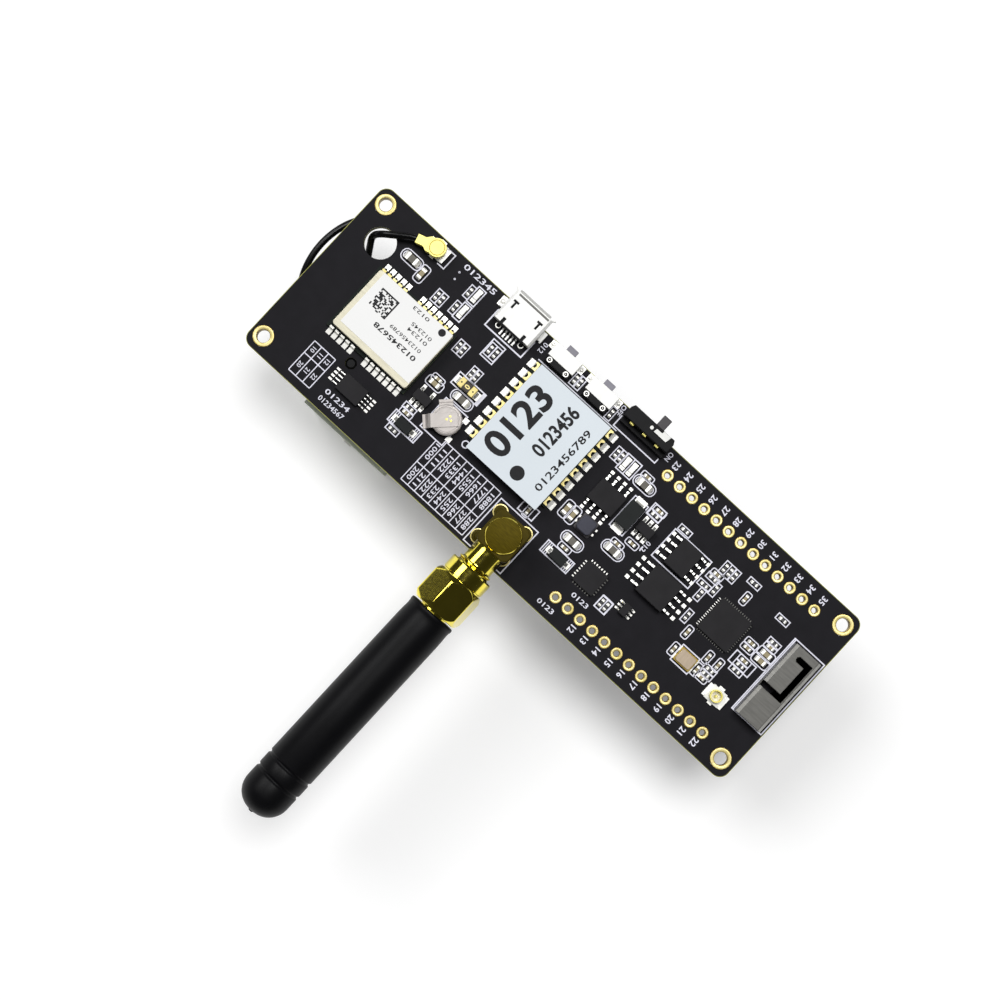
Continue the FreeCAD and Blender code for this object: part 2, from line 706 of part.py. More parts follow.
def stub_antenna():
    gap = running_clearance
    thread = jack_thread_diameter / 2 + gap
    collar = nut_collar_diameter / 2
    neck = ferrule_diameter / 2
    corner = nut_across_flats / 2 / math.cos(math.pi / 6)
    flange_rear = nut_rear_y + nut_rear_wall + 2 * gap
    flange_front = flange_rear + ferrule_flange_length
    hexagon = []
    for i in range(6):
        turn = math.radians(nut_turn_deg + 60 * i)
        hexagon.append((jack_axis_x + corner * math.sin(turn),
                        jack_axis_z + corner * math.cos(turn)))
    hexagonal = along_y(hexagon, nut_rear_y, nut_hex_start_y)
    ends = [e for e in hexagonal.Edges if e.BoundBox.YLength < 0.01]
    hexagonal = hexagonal.makeChamfer(nut_chamfer, ends)
    sleeve = turned([(0, nut_front_y), (collar, nut_front_y), (collar, nut_hex_start_y),
                     (0, nut_hex_start_y)])
    rear_wall = nut_rear_y + nut_rear_wall
    hollow = turned([(0, nut_front_y), (thread, nut_front_y), (thread, rear_wall),
                     (neck + gap, rear_wall), (neck + gap, nut_rear_y), (0, nut_rear_y)])
    save("coupling_nut", hexagonal.fuse(sleeve).cut(hollow))
    flange = jack_thread_diameter / 2
    inner_end = sheath_start_y - ferrule_depth_in_sheath
    spigot = jack_bore_diameter / 2 - 0.05
    front = jack_barrel_end_y + 3.0
    ferrule = turned([
        (0, front), (spigot, front), (spigot, flange_front), (flange, flange_front),
        (flange, flange_rear), (neck, flange_rear), (neck, inner_end), (0, inner_end)])
    pin_room = along_y(polygon((jack_axis_x, jack_axis_z), center_pin_diameter + 2 * gap,
                               pad_sides), front - 1.3, front)
    save("antenna_ferrule", ferrule.cut(pin_room))
    save("antenna_sheath", sheath(neck, inner_end))


def sheath(bore, inner_end):
    radius = sheath_diameter / 2
    points = [(bore, sheath_start_y), (radius, sheath_start_y)]
    dome_start = sheath_end_y + sheath_dome
    reach = sheath_dome / math.sin(math.radians(dome_angles[-1]))
    for angle in dome_angles:
        bend = math.radians(angle)
        points.append((radius * math.cos(bend), dome_start - reach * math.sin(bend)))
    points += [(0, sheath_end_y), (0, inner_end), (bore, inner_end)]
    return turned(points)


def stamped_antenna():
    x0, x1 = stamped_x
    y0, y1 = stamped_y
    shell = box(x0, x1, y0, y1, 0, stamped_height)
    crease = [e for e in shell.Edges if e.BoundBox.ZMin > stamped_height - 0.01
              and e.BoundBox.YLength > y1 - y0 - 0.01]
    shell = shell.makeChamfer(stamped_bend, crease)
    sheet = stamped_sheet
    inner = box(x0 + sheet, x1 - sheet, y0, y1, 0, stamped_height - sheet)
    crease = [e for e in inner.Edges if e.BoundBox.ZMin > stamped_height - sheet - 0.01
              and e.BoundBox.YLength > y1 - y0 - 0.01]
    shell = shell.cut(inner.makeChamfer(stamped_bend - sheet / 2, crease))
    right = x1 - 0.75
    arm_y = y1 - 1.25
    low_y = y0 + 5.4
    top = stamped_height + 1
    arm = box(x0 + 1.45 + slot_width / 2, right, arm_y - slot_width, arm_y, 1, top)
    end = prism(polygon((x0 + 1.45 + slot_width / 2, arm_y - slot_width / 2), slot_width, pad_sides),
                1, top)
    down = box(right - slot_width, right, low_y, arm_y, 1, top)
    across = box(x0 - 1, right, low_y, low_y + slot_width, 0.6, top)
    slot = arm.fuse([end, down, across])
    return shell.cut(slot).removeSplitter()


def coax_jacks():
    bases, rings = [], []
    ring = coax_ring_diameter / 2
    pin = coax_pin_diameter / 2
    floor = coax_base[2]
    for place in coax_jack_positions:
        x, y = place
        bases.append(block(place, coax_base, 0))
        top = floor + coax_ring_height
        outer = prism(polygon(place, 2 * ring, pad_sides), floor, top)
        inner = polygon(place, 2 * (ring - coax_ring_wall), pad_sides)
        rings.append(outer.cut(prism(inner, floor, top)))
        rings.append(block(place, (2 * pin, 2 * pin, coax_ring_height - 0.25), floor))
        for side in (-1, 1):
            edge = x + side * coax_base[0] / 2
            near, far = sorted((edge, edge + side * 0.55))
            rings.append(box(near, far, y - 1.2, y + 1.1, 0, 0.3))
        rings.append(box(x - 0.5, x + 0.5, y + coax_base[1] / 2, y + coax_base[1] / 2 + 0.4, 0, 0.2))
    save("coax_jack_bases", Part.makeCompound(bases))
    save("coax_jack_rings", Part.makeCompound(rings))


def plug_tail_end():
    x, y = coax_jack_positions[1]
    turn = math.radians(plug_turn_deg)
    return (x + plug_tail_length * math.cos(turn), y + plug_tail_length * math.sin(turn))


def coax_plug():
    place = coax_jack_positions[1]
    rim = coax_base[2] + coax_ring_height
    cap = prism(polygon(place, plug_diameter, 2 * pad_sides), plug_bottom, plug_top)
    half = plug_tail_width / 2
    arm = prism([(0, -1.3), (1.5, -1.2), (2.1, -half), (plug_tail_length, -half),
                 (plug_tail_length, half), (2.1, half), (1.5, 1.2), (0, 1.3)], 0.7, plug_top - 0.05)
    arm.rotate(Vector(0, 0, 0), Vector(0, 0, 1), plug_turn_deg)
    arm.translate(Vector(place[0], place[1], 0))
    return cap.fuse(arm).cut(prism(polygon(place, coax_ring_diameter, pad_sides), 0, rim))


def cable():
    tail = plug_tail_end()
    turn = math.radians(plug_turn_deg)
    start = Vector(tail[0], tail[1], cable_axis_z)
    second = start + Vector(math.cos(turn), math.sin(turn), 0) * cable_exit
    shield_y = holder_side_y - patch_shield_height / 2
    end = Vector(patch_center_x - patch_shield_size / 2, shield_y, cable_end_z)
    points = [start, second] + [Vector(*p) for p in cable_route] + [end]
    edges = []
    radii = []
    last = points[0]
    for before, corner, after in zip(points, points[1:], points[2:]):
        incoming = (before - corner)
        outgoing = (after - corner)
        shorter = min(incoming.Length, outgoing.Length)
        turn = math.pi - incoming.getAngle(outgoing)
        reach = 0.45 * shorter
        radius = reach / math.tan(turn / 2)
        radii.append(radius)
        first = corner + incoming / incoming.Length * reach
        second = corner + outgoing / outgoing.Length * reach
        bisector = incoming / incoming.Length + outgoing / outgoing.Length
        bisector = bisector / bisector.Length
        center_distance = radius / math.cos(turn / 2)
        middle = corner + bisector * (center_distance - radius)
        edges.append(Part.LineSegment(last, first).toShape())
        edges.append(Part.Arc(first, middle, second).toShape())
        last = second
    edges.append(Part.LineSegment(last, points[-1]).toShape())
    path = Part.Wire(edges)
    ahead = points[1] - points[0]
    ahead.normalize()
    aside = ahead.cross(Vector(0, 0, 1))
    above = aside.cross(ahead)
    area = math.pi * cable_diameter ** 2 / 4
    radius = math.sqrt(2 * area / (cable_sides * math.sin(2 * math.pi / cable_sides)))
    corners = []
    for i in range(cable_sides + 1):
        angle = 2 * math.pi * (i + 0.5) / cable_sides
        corners.append(points[0] + aside * radius * math.cos(angle) + above * radius * math.sin(angle))
    tube = path.makePipeShell([Part.makePolygon(corners)], True, False)
    share = tube.Volume / (area * path.Length)
    print("cable length", round(path.Length, 2), "radii", [round(r, 2) for r in radii],
          "volume share", round(share, 4))
    return tube


def battery_holder():
    x, y = holder_center
    x0, x1 = x - holder_length / 2, x + holder_length / 2
    y0, y1 = y - holder_width / 2, y + holder_width / 2
    shell = box(x0, x1, y0, y1, holder_bottom, board_bottom)
    crease = [e for e in shell.Edges if e.BoundBox.ZMin > board_bottom - 0.01
              and e.BoundBox.XLength > holder_length - 0.01]
    shell = shell.makeChamfer(holder_bevel, crease)
    top = board_bottom - holder_wall
    bay = box(x0 + holder_end_wall, x1 - holder_end_wall, y0 + holder_wall, y1 - holder_wall,
              holder_bottom, top)
    crease = [e for e in bay.Edges if e.BoundBox.ZMin > top - 0.01
              and e.BoundBox.XLength > holder_length / 2]
    shell = shell.cut(bay.makeChamfer(holder_bevel - holder_wall / 2, crease))
    half = holder_scallop_length / 2
    depth = holder_scallop_depth
    shell = shell.cut(along_y([(x - half, holder_bottom), (x + half, holder_bottom),
                               (x + half - depth, holder_bottom + depth),
                               (x - half + depth, holder_bottom + depth)], y0, y1))
    notch = contact_width / 2 + 0.1
    for side in (-1, 1):
        edge = x + side * holder_length / 2
        inner = edge - side * (holder_end_wall + 0.8)
        near, far = sorted((edge, inner))
        shell = shell.cut(box(near, far, y - notch, y + notch, top, board_bottom))
    save("battery_holder", shell)
    contacts = []
    for side in (-1, 1):
        edge = x + side * holder_length / 2
        wall = edge - side * holder_end_wall
        low = board_bottom - contact_sheet
        near, far = sorted((edge + side * contact_foot, wall - side * contact_sheet))
        width = contact_width / 2
        foot = box(near, far, y - width, y + width, low, board_bottom)
        near, far = sorted((wall, wall - side * contact_sheet))
        leaf = box(near, far, y - width, y + width, board_bottom - contact_drop, board_bottom)
        low = board_bottom - contact_drop
        knee = wall - side * contact_sheet
        tip = knee - side * contact_spring
        spring = along_y([(knee, low), (tip, low + 4.0), (tip, low + 5.0),
                          (tip + side * 1.4, low + 6.4), (tip + side * 1.7, low + 6.2),
                          (tip + side * 0.3, low + 4.8), (tip + side * 0.3, low + 4.2),
                          (knee, low + 0.4)], y - width + 1.2, y + width - 1.2)
        contacts.append(foot.fuse([leaf, spring]).removeSplitter())
    save("battery_contacts", Part.makeCompound(contacts))


def patch_antenna():
    x = patch_center_x
    half = patch_size / 2
    can_half = patch_shield_size / 2
    low, high = patch_top - patch_size, patch_top
    middle = (low + high) / 2
    y = holder_side_y
    can_y = y - patch_shield_height
    shield = box(x - can_half, x + can_half, can_y, y, middle - can_half, middle + can_half)
    inset = can_half - can_sheet
    shield = shield.cut(box(x - inset, x + inset, can_y, y - can_sheet, middle - inset,
                            middle + inset))
    save("patch_shield", shield)
    board_y = can_y - patch_board_thickness
    save("patch_board", box(x - half, x + half, board_y, can_y, low, high))
    ceramic_y = board_y - patch_ceramic_thickness
    save("patch_ceramic", box(x - half, x + half, ceramic_y, board_y, low, high))
    inset = electrode_size / 2
    plate = box(x - inset, x + inset, ceramic_y - electrode_thickness, ceramic_y,
                middle - inset, middle + inset)
    bump = along_y(polygon((x + feed_offset, middle), feed_bump_diameter, pad_sides),
                   ceramic_y - feed_bump_height, ceramic_y)
    save("patch_electrode", plate.fuse(bump).removeSplitter())


def backup_cell():
    x, y = cell_center
    radius = cell_diameter / 2
    low, high = cell_lift, cell_lift + cell_height
    save("backup_cell", upright(cell_center, radius, low, high))
    half = cell_tab_width / 2
    sheet = cell_tab_sheet
    reach = cell_tab_reach
    upper = along_y([(1.7, high), (1.7, high + sheet), (-radius - 0.1, high + sheet),
                     (-radius - 0.45, high - 0.2), (-reach, sheet), (-reach - 0.45, sheet),
                     (-reach - 0.45, 0), (-reach + 0.15, 0), (-radius - 0.25, high - 0.35),
                     (-radius - 0.02, high)], -half, half)
    upper.rotate(Vector(0, 0, 0), Vector(0, 0, 1), 45)
    lower = along_y([(1.2, low), (1.2, low - sheet), (-radius - 0.2, low - sheet),
                     (-radius - 0.35, 0), (-reach, 0), (-reach, sheet),
                     (-radius - 0.5, sheet), (-radius - 0.3, low)], -half, half)
    lower.rotate(Vector(0, 0, 0), Vector(0, 0, 1), -45)
    tabs = [upper, lower]
    for tab in tabs:
        tab.translate(Vector(x, y, 0))
    save("backup_cell_tabs", Part.makeCompound(tabs))


def gull_lead(center, side, direction, shoulder, span, width, height):
    """One bent lead from the package's side wall down to the board."""
    sheet = lead_sheet
    knee = shoulder + (span - shoulder) * 0.4
    middle = height * 0.5
    points = [(shoulder, middle), (shoulder, middle + sheet), (knee, middle + sheet),
              (knee + sheet, sheet), (span, sheet), (span, 0), (knee, 0)]
    if span - shoulder < short_lead:
        points = [(shoulder, 0), (shoulder, middle), (span, sheet), (span, 0)]
    x, y = center
    if direction == "x":
        return along_y([(x + side * a, b) for a, b in points], y - width / 2, y + width / 2)
    return along_x([(y + side * a, b) for a, b in points], x - width / 2, x + width / 2)


def leads_for(center, size, direction, pitch, count, span, width, sides=(-1, 1), skip=()):
    along = 0 if direction == "x" else 1
    leads = []
    for side in sides:
        for i in range(count):
            if (side, i) in skip:
                continue
            offset = (i - (count - 1) / 2) * pitch
            place = (center[0], center[1] + offset) if along == 0 else (center[0] + offset, center[1])
            leads.append(gull_lead(place, side, direction, size[along] / 2, span, width,
                                   size[2] + chip_standoff))
    return leads


def chip_body(center, size):
    return block(center, size, chip_standoff)


def chips():
    save("processor_chip", block(processor_center, processor_size, 0))
    save("usb_bridge_chip", block(usb_bridge_center, usb_bridge_size, 0))
    save("flash_chip", chip_body(flash_center, flash_size))
    save("memory_chip", chip_body(memory_center, memory_size))
    save("charger_chip", chip_body(charger_center, charger_size))
    small = ((protector_center, protector_size), (regulator_center, regulator_size),
             (converter_center, converter_size), (logic_center, logic_size))
    save("small_chips", Part.makeCompound([chip_body(c, s) for c, s in small]))
    leads = leads_for(flash_center, flash_size, "x", wide_pitch, 4, 3.0, 0.42)
    leads += leads_for(memory_center, memory_size, "x", wide_pitch, 4, 3.95, 0.42)
    leads += leads_for(charger_center, charger_size, "y", wide_pitch, 4, 3.0, 0.42)
    leads += leads_for(protector_center, protector_size, "x", fine_pitch, 4, 3.2, 0.26)
    leads += leads_for(regulator_center, regulator_size, "y", sot_pitch, 3, 1.4, 0.4,
                       skip=((1, 1),))
    leads += leads_for(converter_center, converter_size, "y", sot_pitch, 3, 1.4, 0.4)
    leads += leads_for(logic_center, logic_size, "x", fine_pitch, 3, 1.1, 0.24)
    return leads


def diodes():
    places = [(center, diode_small, "x") for center in small_diode_centers]
    places.append((large_diode_center, diode_large, "y"))
    bodies, tabs = [], []
    for center, size, direction in places:
        bodies.append(chip_body(center, size))
        long_side = size[0] if direction == "x" else size[1]
        kind = 0 if direction == "x" else 1
        width = diode_tab_width[kind]
        span = long_side / 2 + diode_tab_reach[kind]
        for side in (-1, 1):
            tabs.append(gull_lead(center, side, direction, long_side / 2, span, width, size[2]))
    save("diodes", Part.makeCompound(bodies))
    return tabs


def passives():
    bodies = {"resistors": [], "capacitors": []}
    places = [("capacitors",) + p for p in capacitor_places]
    places += [("resistors",) + p + (small_chip,) for p in resistor_places]
    for kind, x, y, direction, (length, width, height) in places:
        size = (length, width, height) if direction == "x" else (width, length, height)
        bodies[kind].append(block((x, y), size, 0))
    save("resistors", Part.makeCompound(bodies["resistors"]))
    save("capacitors", Part.makeCompound(bodies["capacitors"]))


def other_parts():
    base = block(inductor_center, (inductor_size, inductor_size, 0.35), 0)
    core = block(inductor_center, (inductor_size - 0.6, inductor_size - 0.55,
                                   inductor_height - 0.35), 0.35)
    core = core.makeChamfer(0.65, upright_edges(core))
    save("power_inductor", base.fuse(core))
    save("tantalum_capacitor", chip_body(tantalum_center, tantalum_size))
    base = block(crystal_center, (crystal_size[0], crystal_size[1], 0.45), 0)
    lid = block(crystal_center, (crystal_size[0] - 0.4, crystal_size[1] - 0.4,
                                 crystal_size[2] - 0.45), 0.45)
    save("crystal", base.fuse(lid))
    save("status_leds", Part.makeCompound([block(p, led_size, 0) for p in led_positions]))
    length, width, height = tantalum_size
    tabs = []
    for side in (-1, 1):
        tabs.append(gull_lead(tantalum_center, side, "x", length / 2, length / 2 + 0.45, 1.0,
                              height * 0.6))
    return tabs


save("main_board", main_board())
plated_holes()
radio_module()
gps_module()
usb_socket()
push_buttons()
power_switch()
coaxial_jack()
stub_antenna()
save("wifi_antenna", stamped_antenna())
coax_jacks()
save("gps_plug", coax_plug())
save("gps_cable", cable())
battery_holder()
patch_antenna()
backup_cell()
save("component_leads", Part.makeCompound(chips() + diodes() + other_parts()))
passives()
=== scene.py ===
import itertools
import math
import random

import bmesh
import bpy
from mathutils import Matrix, Vector


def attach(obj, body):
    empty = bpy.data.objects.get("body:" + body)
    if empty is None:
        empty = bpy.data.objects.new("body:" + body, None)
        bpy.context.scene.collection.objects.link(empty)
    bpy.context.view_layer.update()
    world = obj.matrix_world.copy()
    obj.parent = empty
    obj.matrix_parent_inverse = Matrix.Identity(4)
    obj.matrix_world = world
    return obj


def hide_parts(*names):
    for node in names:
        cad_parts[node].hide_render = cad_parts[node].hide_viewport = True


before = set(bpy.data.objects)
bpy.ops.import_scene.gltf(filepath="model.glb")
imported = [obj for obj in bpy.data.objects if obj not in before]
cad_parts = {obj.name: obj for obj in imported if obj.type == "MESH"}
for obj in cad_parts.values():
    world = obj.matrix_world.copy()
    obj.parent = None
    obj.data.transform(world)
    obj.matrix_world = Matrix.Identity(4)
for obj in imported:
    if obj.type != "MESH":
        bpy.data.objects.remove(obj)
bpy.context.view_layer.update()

# Lengths here are in millimetres, in the row frame, and become metres in piece()
MM = 0.001
PITCH = 2.54
RNG = random.Random(5)
# Levels, with the board's top at 0
BOARD_LOW = -1.6
GROUND = -21.6
MODULE_TOP = 0.8
SOCKET_TOP = 2.65
# Places: the antenna's axis as X and Z, the rest as X and Y or as X alone
AXIS = (0.4, 4.0)
JACK = (0.4, -11.5)
JACK_LEGS = [(sx * PITCH, JACK[1] + sy * PITCH) for sx in (-1, 1) for sy in (-1, 1)]
CABLE_JACK = (-37.1, 14.15)
SPARE_JACK = (40.7, -7.35)
SOCKET_X = -20
BUTTONS = (-11.1, -3.4)
PROCESSOR = (34.35, 1.5)
USB_BRIDGE = (14.4, -7.1)


def srgb(r, g, b):
    def linear(v):
        v = v / 255
        return v / 12.92 if v <= 0.04045 else ((v + 0.055) / 1.055) ** 2.4
    return (linear(r), linear(g), linear(b), 1)


# Materials
ROUGH_DRIFT = 0.07
RELIEF_DEPTH = 0.02
# A board's face has a normal whose Z is above this, and a sawn edge hasn't
FACE_NORMAL = 0.6


def material(name, color, rough=0.5, metallic=0.0, specular=0.5, grain=2500, spread=0.08,
             bump=0.15, stretch=(1, 1, 1), coat=0.0, second=None, patch=400):
    """A surface whose colour drifts in patches and whose gloss and relief vary finely."""
    mat = bpy.data.materials.new(name)
    mat.use_nodes = True
    nodes, links = mat.node_tree.nodes, mat.node_tree.links
    shader = nodes["Principled BSDF"]
    shader.inputs["Metallic"].default_value = metallic
    shader.inputs["Specular IOR Level"].default_value = specular
    shader.inputs["Coat Weight"].default_value = coat
    shader.inputs["Coat Roughness"].default_value = 0.12
    coord = nodes.new("ShaderNodeTexCoord")
    mapping = nodes.new("ShaderNodeMapping")
    mapping.inputs["Scale"].default_value = stretch
    links.new(coord.outputs["Object"], mapping.inputs["Vector"])
    noises = []
    for scale, detail in ((grain, 6), (patch, 3)):
        noise = nodes.new("ShaderNodeTexNoise")
        noise.inputs["Scale"].default_value = scale
        noise.inputs["Detail"].default_value = detail
        links.new(mapping.outputs["Vector"], noise.inputs["Vector"])
        noises.append(noise.outputs["Fac"])
    fine, broad = noises
    ramp = nodes.new("ShaderNodeValToRGB")
    low, high = ramp.color_ramp.elements
    low.position, high.position = 0.3, 0.7
    low.color = [v * (1 - spread) for v in color[:3]] + [1]
    high.color = [min(v * (1 + spread), 1) for v in (second or color)[:3]] + [1]
    links.new(broad, ramp.inputs["Fac"])
    links.new(ramp.outputs["Color"], shader.inputs["Base Color"])
    gloss = nodes.new("ShaderNodeMapRange")
    gloss.inputs["To Min"].default_value = max(rough - ROUGH_DRIFT, 0.03)
    gloss.inputs["To Max"].default_value = min(rough + ROUGH_DRIFT, 1)
    links.new(fine, gloss.inputs["Value"])
    links.new(gloss.outputs["Result"], shader.inputs["Roughness"])
    relief = nodes.new("ShaderNodeBump")
    relief.inputs["Strength"].default_value = bump
    relief.inputs["Distance"].default_value = RELIEF_DEPTH * MM
    links.new(fine, relief.inputs["Height"])
    links.new(relief.outputs["Normal"], shader.inputs["Normal"])
    mat.diffuse_color = color
    return mat


def two_sided_board(name, face, edge):
    """The board's mask on its faces and bare laminate on its sawn edges."""
    mat = material(name, face, rough=0.55, specular=0.08, grain=3500, spread=0.1, bump=0.1)
    nodes, links = mat.node_tree.nodes, mat.node_tree.links
    shader = nodes["Principled BSDF"]
    ramp = nodes["Color Ramp"]
    geometry = nodes.new("ShaderNodeNewGeometry")
    split = nodes.new("ShaderNodeSeparateXYZ")
    links.new(geometry.outputs["Normal"], split.inputs["Vector"])
    size = nodes.new("ShaderNodeMath")
    size.operation = "ABSOLUTE"
    links.new(split.outputs["Z"], size.inputs[0])
    flat = nodes.new("ShaderNodeMath")
    flat.operation = "GREATER_THAN"
    flat.inputs[1].default_value = FACE_NORMAL
    links.new(size.outputs["Value"], flat.inputs[0])
    layers = nodes.new("ShaderNodeTexWave")
    layers.bands_direction = "Z"
    layers.inputs["Scale"].default_value = 900
    coord = nodes["Texture Coordinate"]
    links.new(coord.outputs["Object"], layers.inputs["Vector"])
    glass = nodes.new("ShaderNodeValToRGB")
    glass.color_ramp.elements[0].color = [v * 0.7 for v in edge[:3]] + [1]
    glass.color_ramp.elements[1].color = edge
    links.new(layers.outputs["Fac"], glass.inputs["Fac"])
    mix = nodes.new("ShaderNodeMix")
    mix.data_type = "RGBA"
    links.new(flat.outputs["Value"], mix.inputs["Factor"])
    links.new(glass.outputs["Color"], mix.inputs["A"])
    links.new(ramp.outputs["Color"], mix.inputs["B"])
    links.new(mix.outputs["Result"], shader.inputs["Base Color"])
    return mat


MASK = two_sided_board("solder_mask", srgb(27, 26, 30), srgb(150, 148, 96))
MODULE_MASK = two_sided_board("module_mask", srgb(28, 34, 31), srgb(120, 140, 100))
SILK = material("silk_print", srgb(230, 230, 242), rough=0.6, specular=0.3, bump=0.05)
PLATE = material("plated_pads", srgb(212, 194, 112), rough=0.36, metallic=0.3, grain=3000,
                 spread=0.05, bump=0.05, second=srgb(238, 224, 160))
# Darker gold: the crystal's rim, and painted shade on the plated holes' edges and walls and on the
# cable plug's ring
GOLD_RIM_AND_SHADE = material("plated_rims_and_painted_shade", srgb(150, 126, 48), rough=0.4, metallic=0.5, grain=3000,
                    spread=0.12, bump=0.05)
SOLDER = material("solder", srgb(242, 241, 235), rough=0.3, metallic=0.25, specular=0.4, grain=3000,
                  spread=0.05)
TIN = material("tinned_leads", srgb(238, 238, 236), rough=0.3, metallic=0.35, grain=3000)
LEAD = material("lead_metal", srgb(226, 226, 222), rough=0.26, metallic=0.8, grain=3000)
SHIELD = material("shield_can", srgb(206, 201, 178), rough=0.42, metallic=0.2, grain=900,
                  stretch=(1, 6, 1), spread=0.1, bump=0.1)
LABEL = material("paper_label", srgb(219, 227, 233), rough=0.55, specular=0.3, grain=4000,
                 spread=0.02, patch=120, bump=0.05)
GPS_LABEL = material("film_label", srgb(242, 242, 241), specular=0.3, grain=4000, spread=0.01,
                     patch=120, bump=0.05)
# Black for the labels' print, and for painted shade in the positioning module's half holes
INK_AND_SHADE = material("black_ink_and_painted_shade", srgb(18, 18, 22), rough=0.6, specular=0.3, bump=0.05)
CHIP = material("chip_epoxy", srgb(37, 36, 38), rough=0.62, specular=0.14, grain=9000, spread=0.12,
                bump=0.4)
BLACK = material("black_plastic", srgb(20, 20, 22), specular=0.12, grain=5000, spread=0.1,
                 bump=0.2)
GREY = material("grey_plastic", srgb(128, 126, 136), grain=5000, bump=0.2)
DARK_GREY = material("dark_grey_plastic", srgb(50, 46, 50), grain=5000, bump=0.2)
WHITE = material("white_plastic", srgb(238, 238, 234), grain=4000)
NICKEL = material("nickel_shell", srgb(239, 239, 236), rough=0.4, metallic=0.08, specular=0.15,
                  grain=1200, stretch=(5, 1, 1), spread=0.03, bump=0.06)
GOLD = material("gold_plating", srgb(238, 219, 62), rough=0.16, metallic=1.0, coat=1.0, bump=0.04,
                patch=300, second=srgb(226, 204, 50))
# The jack top's face: dark gold with brushed grain, a painted dark reflection
BRUSHED_GOLD_DARK_REFLECTION = material("brushed_gold_painted_dark_reflection", srgb(80, 69, 10), metallic=0.2, specular=0.05, grain=1500,
                   stretch=(1, 9, 1), spread=0.25, bump=0.25, patch=900)
TURNED = material("turned_gold", srgb(240, 222, 64), rough=0.1, metallic=1.0, coat=1.0, spread=0.06,
                  bump=0.05)
COAX = material("coax_gold", srgb(244, 232, 130), rough=0.36, metallic=0.3, specular=0.3,
                bump=0.06)
# Black rubber for the sheath and the holder's peg, and painted shade under the socket's windows
RUBBER_AND_SHADE = material("antenna_rubber_and_painted_shade", srgb(12, 12, 14), rough=0.42, specular=0.12, grain=6000,
                  spread=0.14, bump=0.3, patch=250)
CABLE = material("cable_jacket", srgb(11, 11, 12), rough=0.24, specular=0.2, grain=4000,
                 spread=0.12, bump=0.12)
CERAMIC = material("ceramic_block", srgb(204, 212, 192), rough=0.6, specular=0.35, grain=4000,
                   spread=0.05, bump=0.3)
# Grey steel for the antenna and battery contacts, and painted shade on some pad rows and on the
# socket's fold
STEEL_AND_SHADE = material("plated_steel_and_painted_shade", srgb(98, 97, 93), rough=0.4, metallic=0.15, specular=0.3,
                 grain=700, stretch=(1, 8, 1), spread=0.14, bump=0.08)
# A lighter copy of the antenna's steel, a painted highlight on its bent faces
PAINTED_HIGHLIGHT_STEEL = material("steel_painted_highlight", srgb(172, 171, 166), rough=0.4, metallic=0.15, specular=0.3,
                      grain=700, stretch=(1, 8, 1), spread=0.12, bump=0.08)
CELL = material("cell_can", srgb(180, 174, 170), rough=0.36, metallic=0.25, specular=0.3, grain=900,
                stretch=(6, 1, 1), bump=0.12)
INDUCTOR = material("ferrite", srgb(62, 63, 74), specular=0.2, grain=5000, spread=0.1, bump=0.3)
TAN = material("capacitor_body", srgb(150, 138, 104), grain=4000, spread=0.12, bump=0.2)
BROWN = material("dark_capacitor_body", srgb(92, 88, 78), grain=4000, spread=0.14, bump=0.2)
YELLOW = material("tantalum_body", srgb(250, 230, 146), grain=4000, spread=0.06, bump=0.2)
AMBER = material("tantalum_band", srgb(46, 36, 14), grain=4000, spread=0.1, bump=0.1)
RESIST = material("resistor_body", srgb(30, 30, 34), rough=0.4, grain=5000, spread=0.1, bump=0.2)
# Dark gold for the jack's block and the centres of its leg rings: painted dark reflection and
# painted shade
PAINTED_DARK_GOLD = material("gold_painted_dark_reflection_and_shade", srgb(66, 57, 10), metallic=0.15, specular=0.06, spread=0.2,
                 bump=0.08)
DIODE = material("diode_body", srgb(30, 33, 33), specular=0.12, grain=5000, spread=0.15, bump=0.2)
LID = material("crystal_lid", srgb(166, 149, 127), rough=0.4, metallic=0.2, grain=1500,
               stretch=(5, 1, 1), bump=0.06)
LENS = material("led_lens", srgb(250, 250, 244), rough=0.3, grain=3000, coat=0.3)
LAMINATE = material("bare_laminate", srgb(168, 168, 84), rough=0.6, grain=3000, spread=0.15)


# Mesh tools: the two matrices stand an outline up, drawn as (y, z) or as (x, z)
FROM_YZ = Matrix(((0, 0, 1, 0), (1, 0, 0, 0), (0, 1, 0, 0), (0, 0, 0, 1)))
FROM_XZ = Matrix(((1, 0, 0, 0), (0, 0, 1, 0), (0, 1, 0, 0), (0, 0, 0, 1)))


def prism(bm, points, low, high, mat=0, place=None):
    """Extrude an (x, y) outline between two levels and give back its faces, the lowest first."""
    lower = [bm.verts.new((x, y, low)) for x, y in points]
    upper = [bm.verts.new((x, y, high)) for x, y in points]
    faces = [bm.faces.new(lower[::-1]), bm.faces.new(upper)]
    for i, j in zip(range(len(points)), list(range(1, len(points))) + [0]):
        faces.append(bm.faces.new((lower[i], lower[j], upper[j], upper[i])))
    for face in faces:
        face.material_index = mat
    if place:
        bmesh.ops.transform(bm, matrix=place, verts=lower + upper)
    return faces


def box(bm, x0, x1, y0, y1, z0, z1, mat=0, place=None):
    prism(bm, [(x0, y0), (x1, y0), (x1, y1), (x0, y1)], z0, z1, mat, place)


def circle(x, y, radius, sides):
    turns = [2 * math.pi * i / sides for i in range(sides)]
    return [(x + radius * math.cos(t), y + radius * math.sin(t)) for t in turns]


def arc(x, y, radius, start, end, steps):
    turns = [math.radians(start + (end - start) * i / steps) for i in range(steps + 1)]
    return [(x + radius * math.cos(t), y + radius * math.sin(t)) for t in turns]


def rounded(x0, x1, y0, y1, radius, steps=3):
    points = arc(x1 - radius, y1 - radius, radius, 0, 90, steps)
    points += arc(x0 + radius, y1 - radius, radius, 90, 180, steps)
    points += arc(x0 + radius, y0 + radius, radius, 180, 270, steps)
    return points + arc(x1 - radius, y0 + radius, radius, 270, 360, steps)


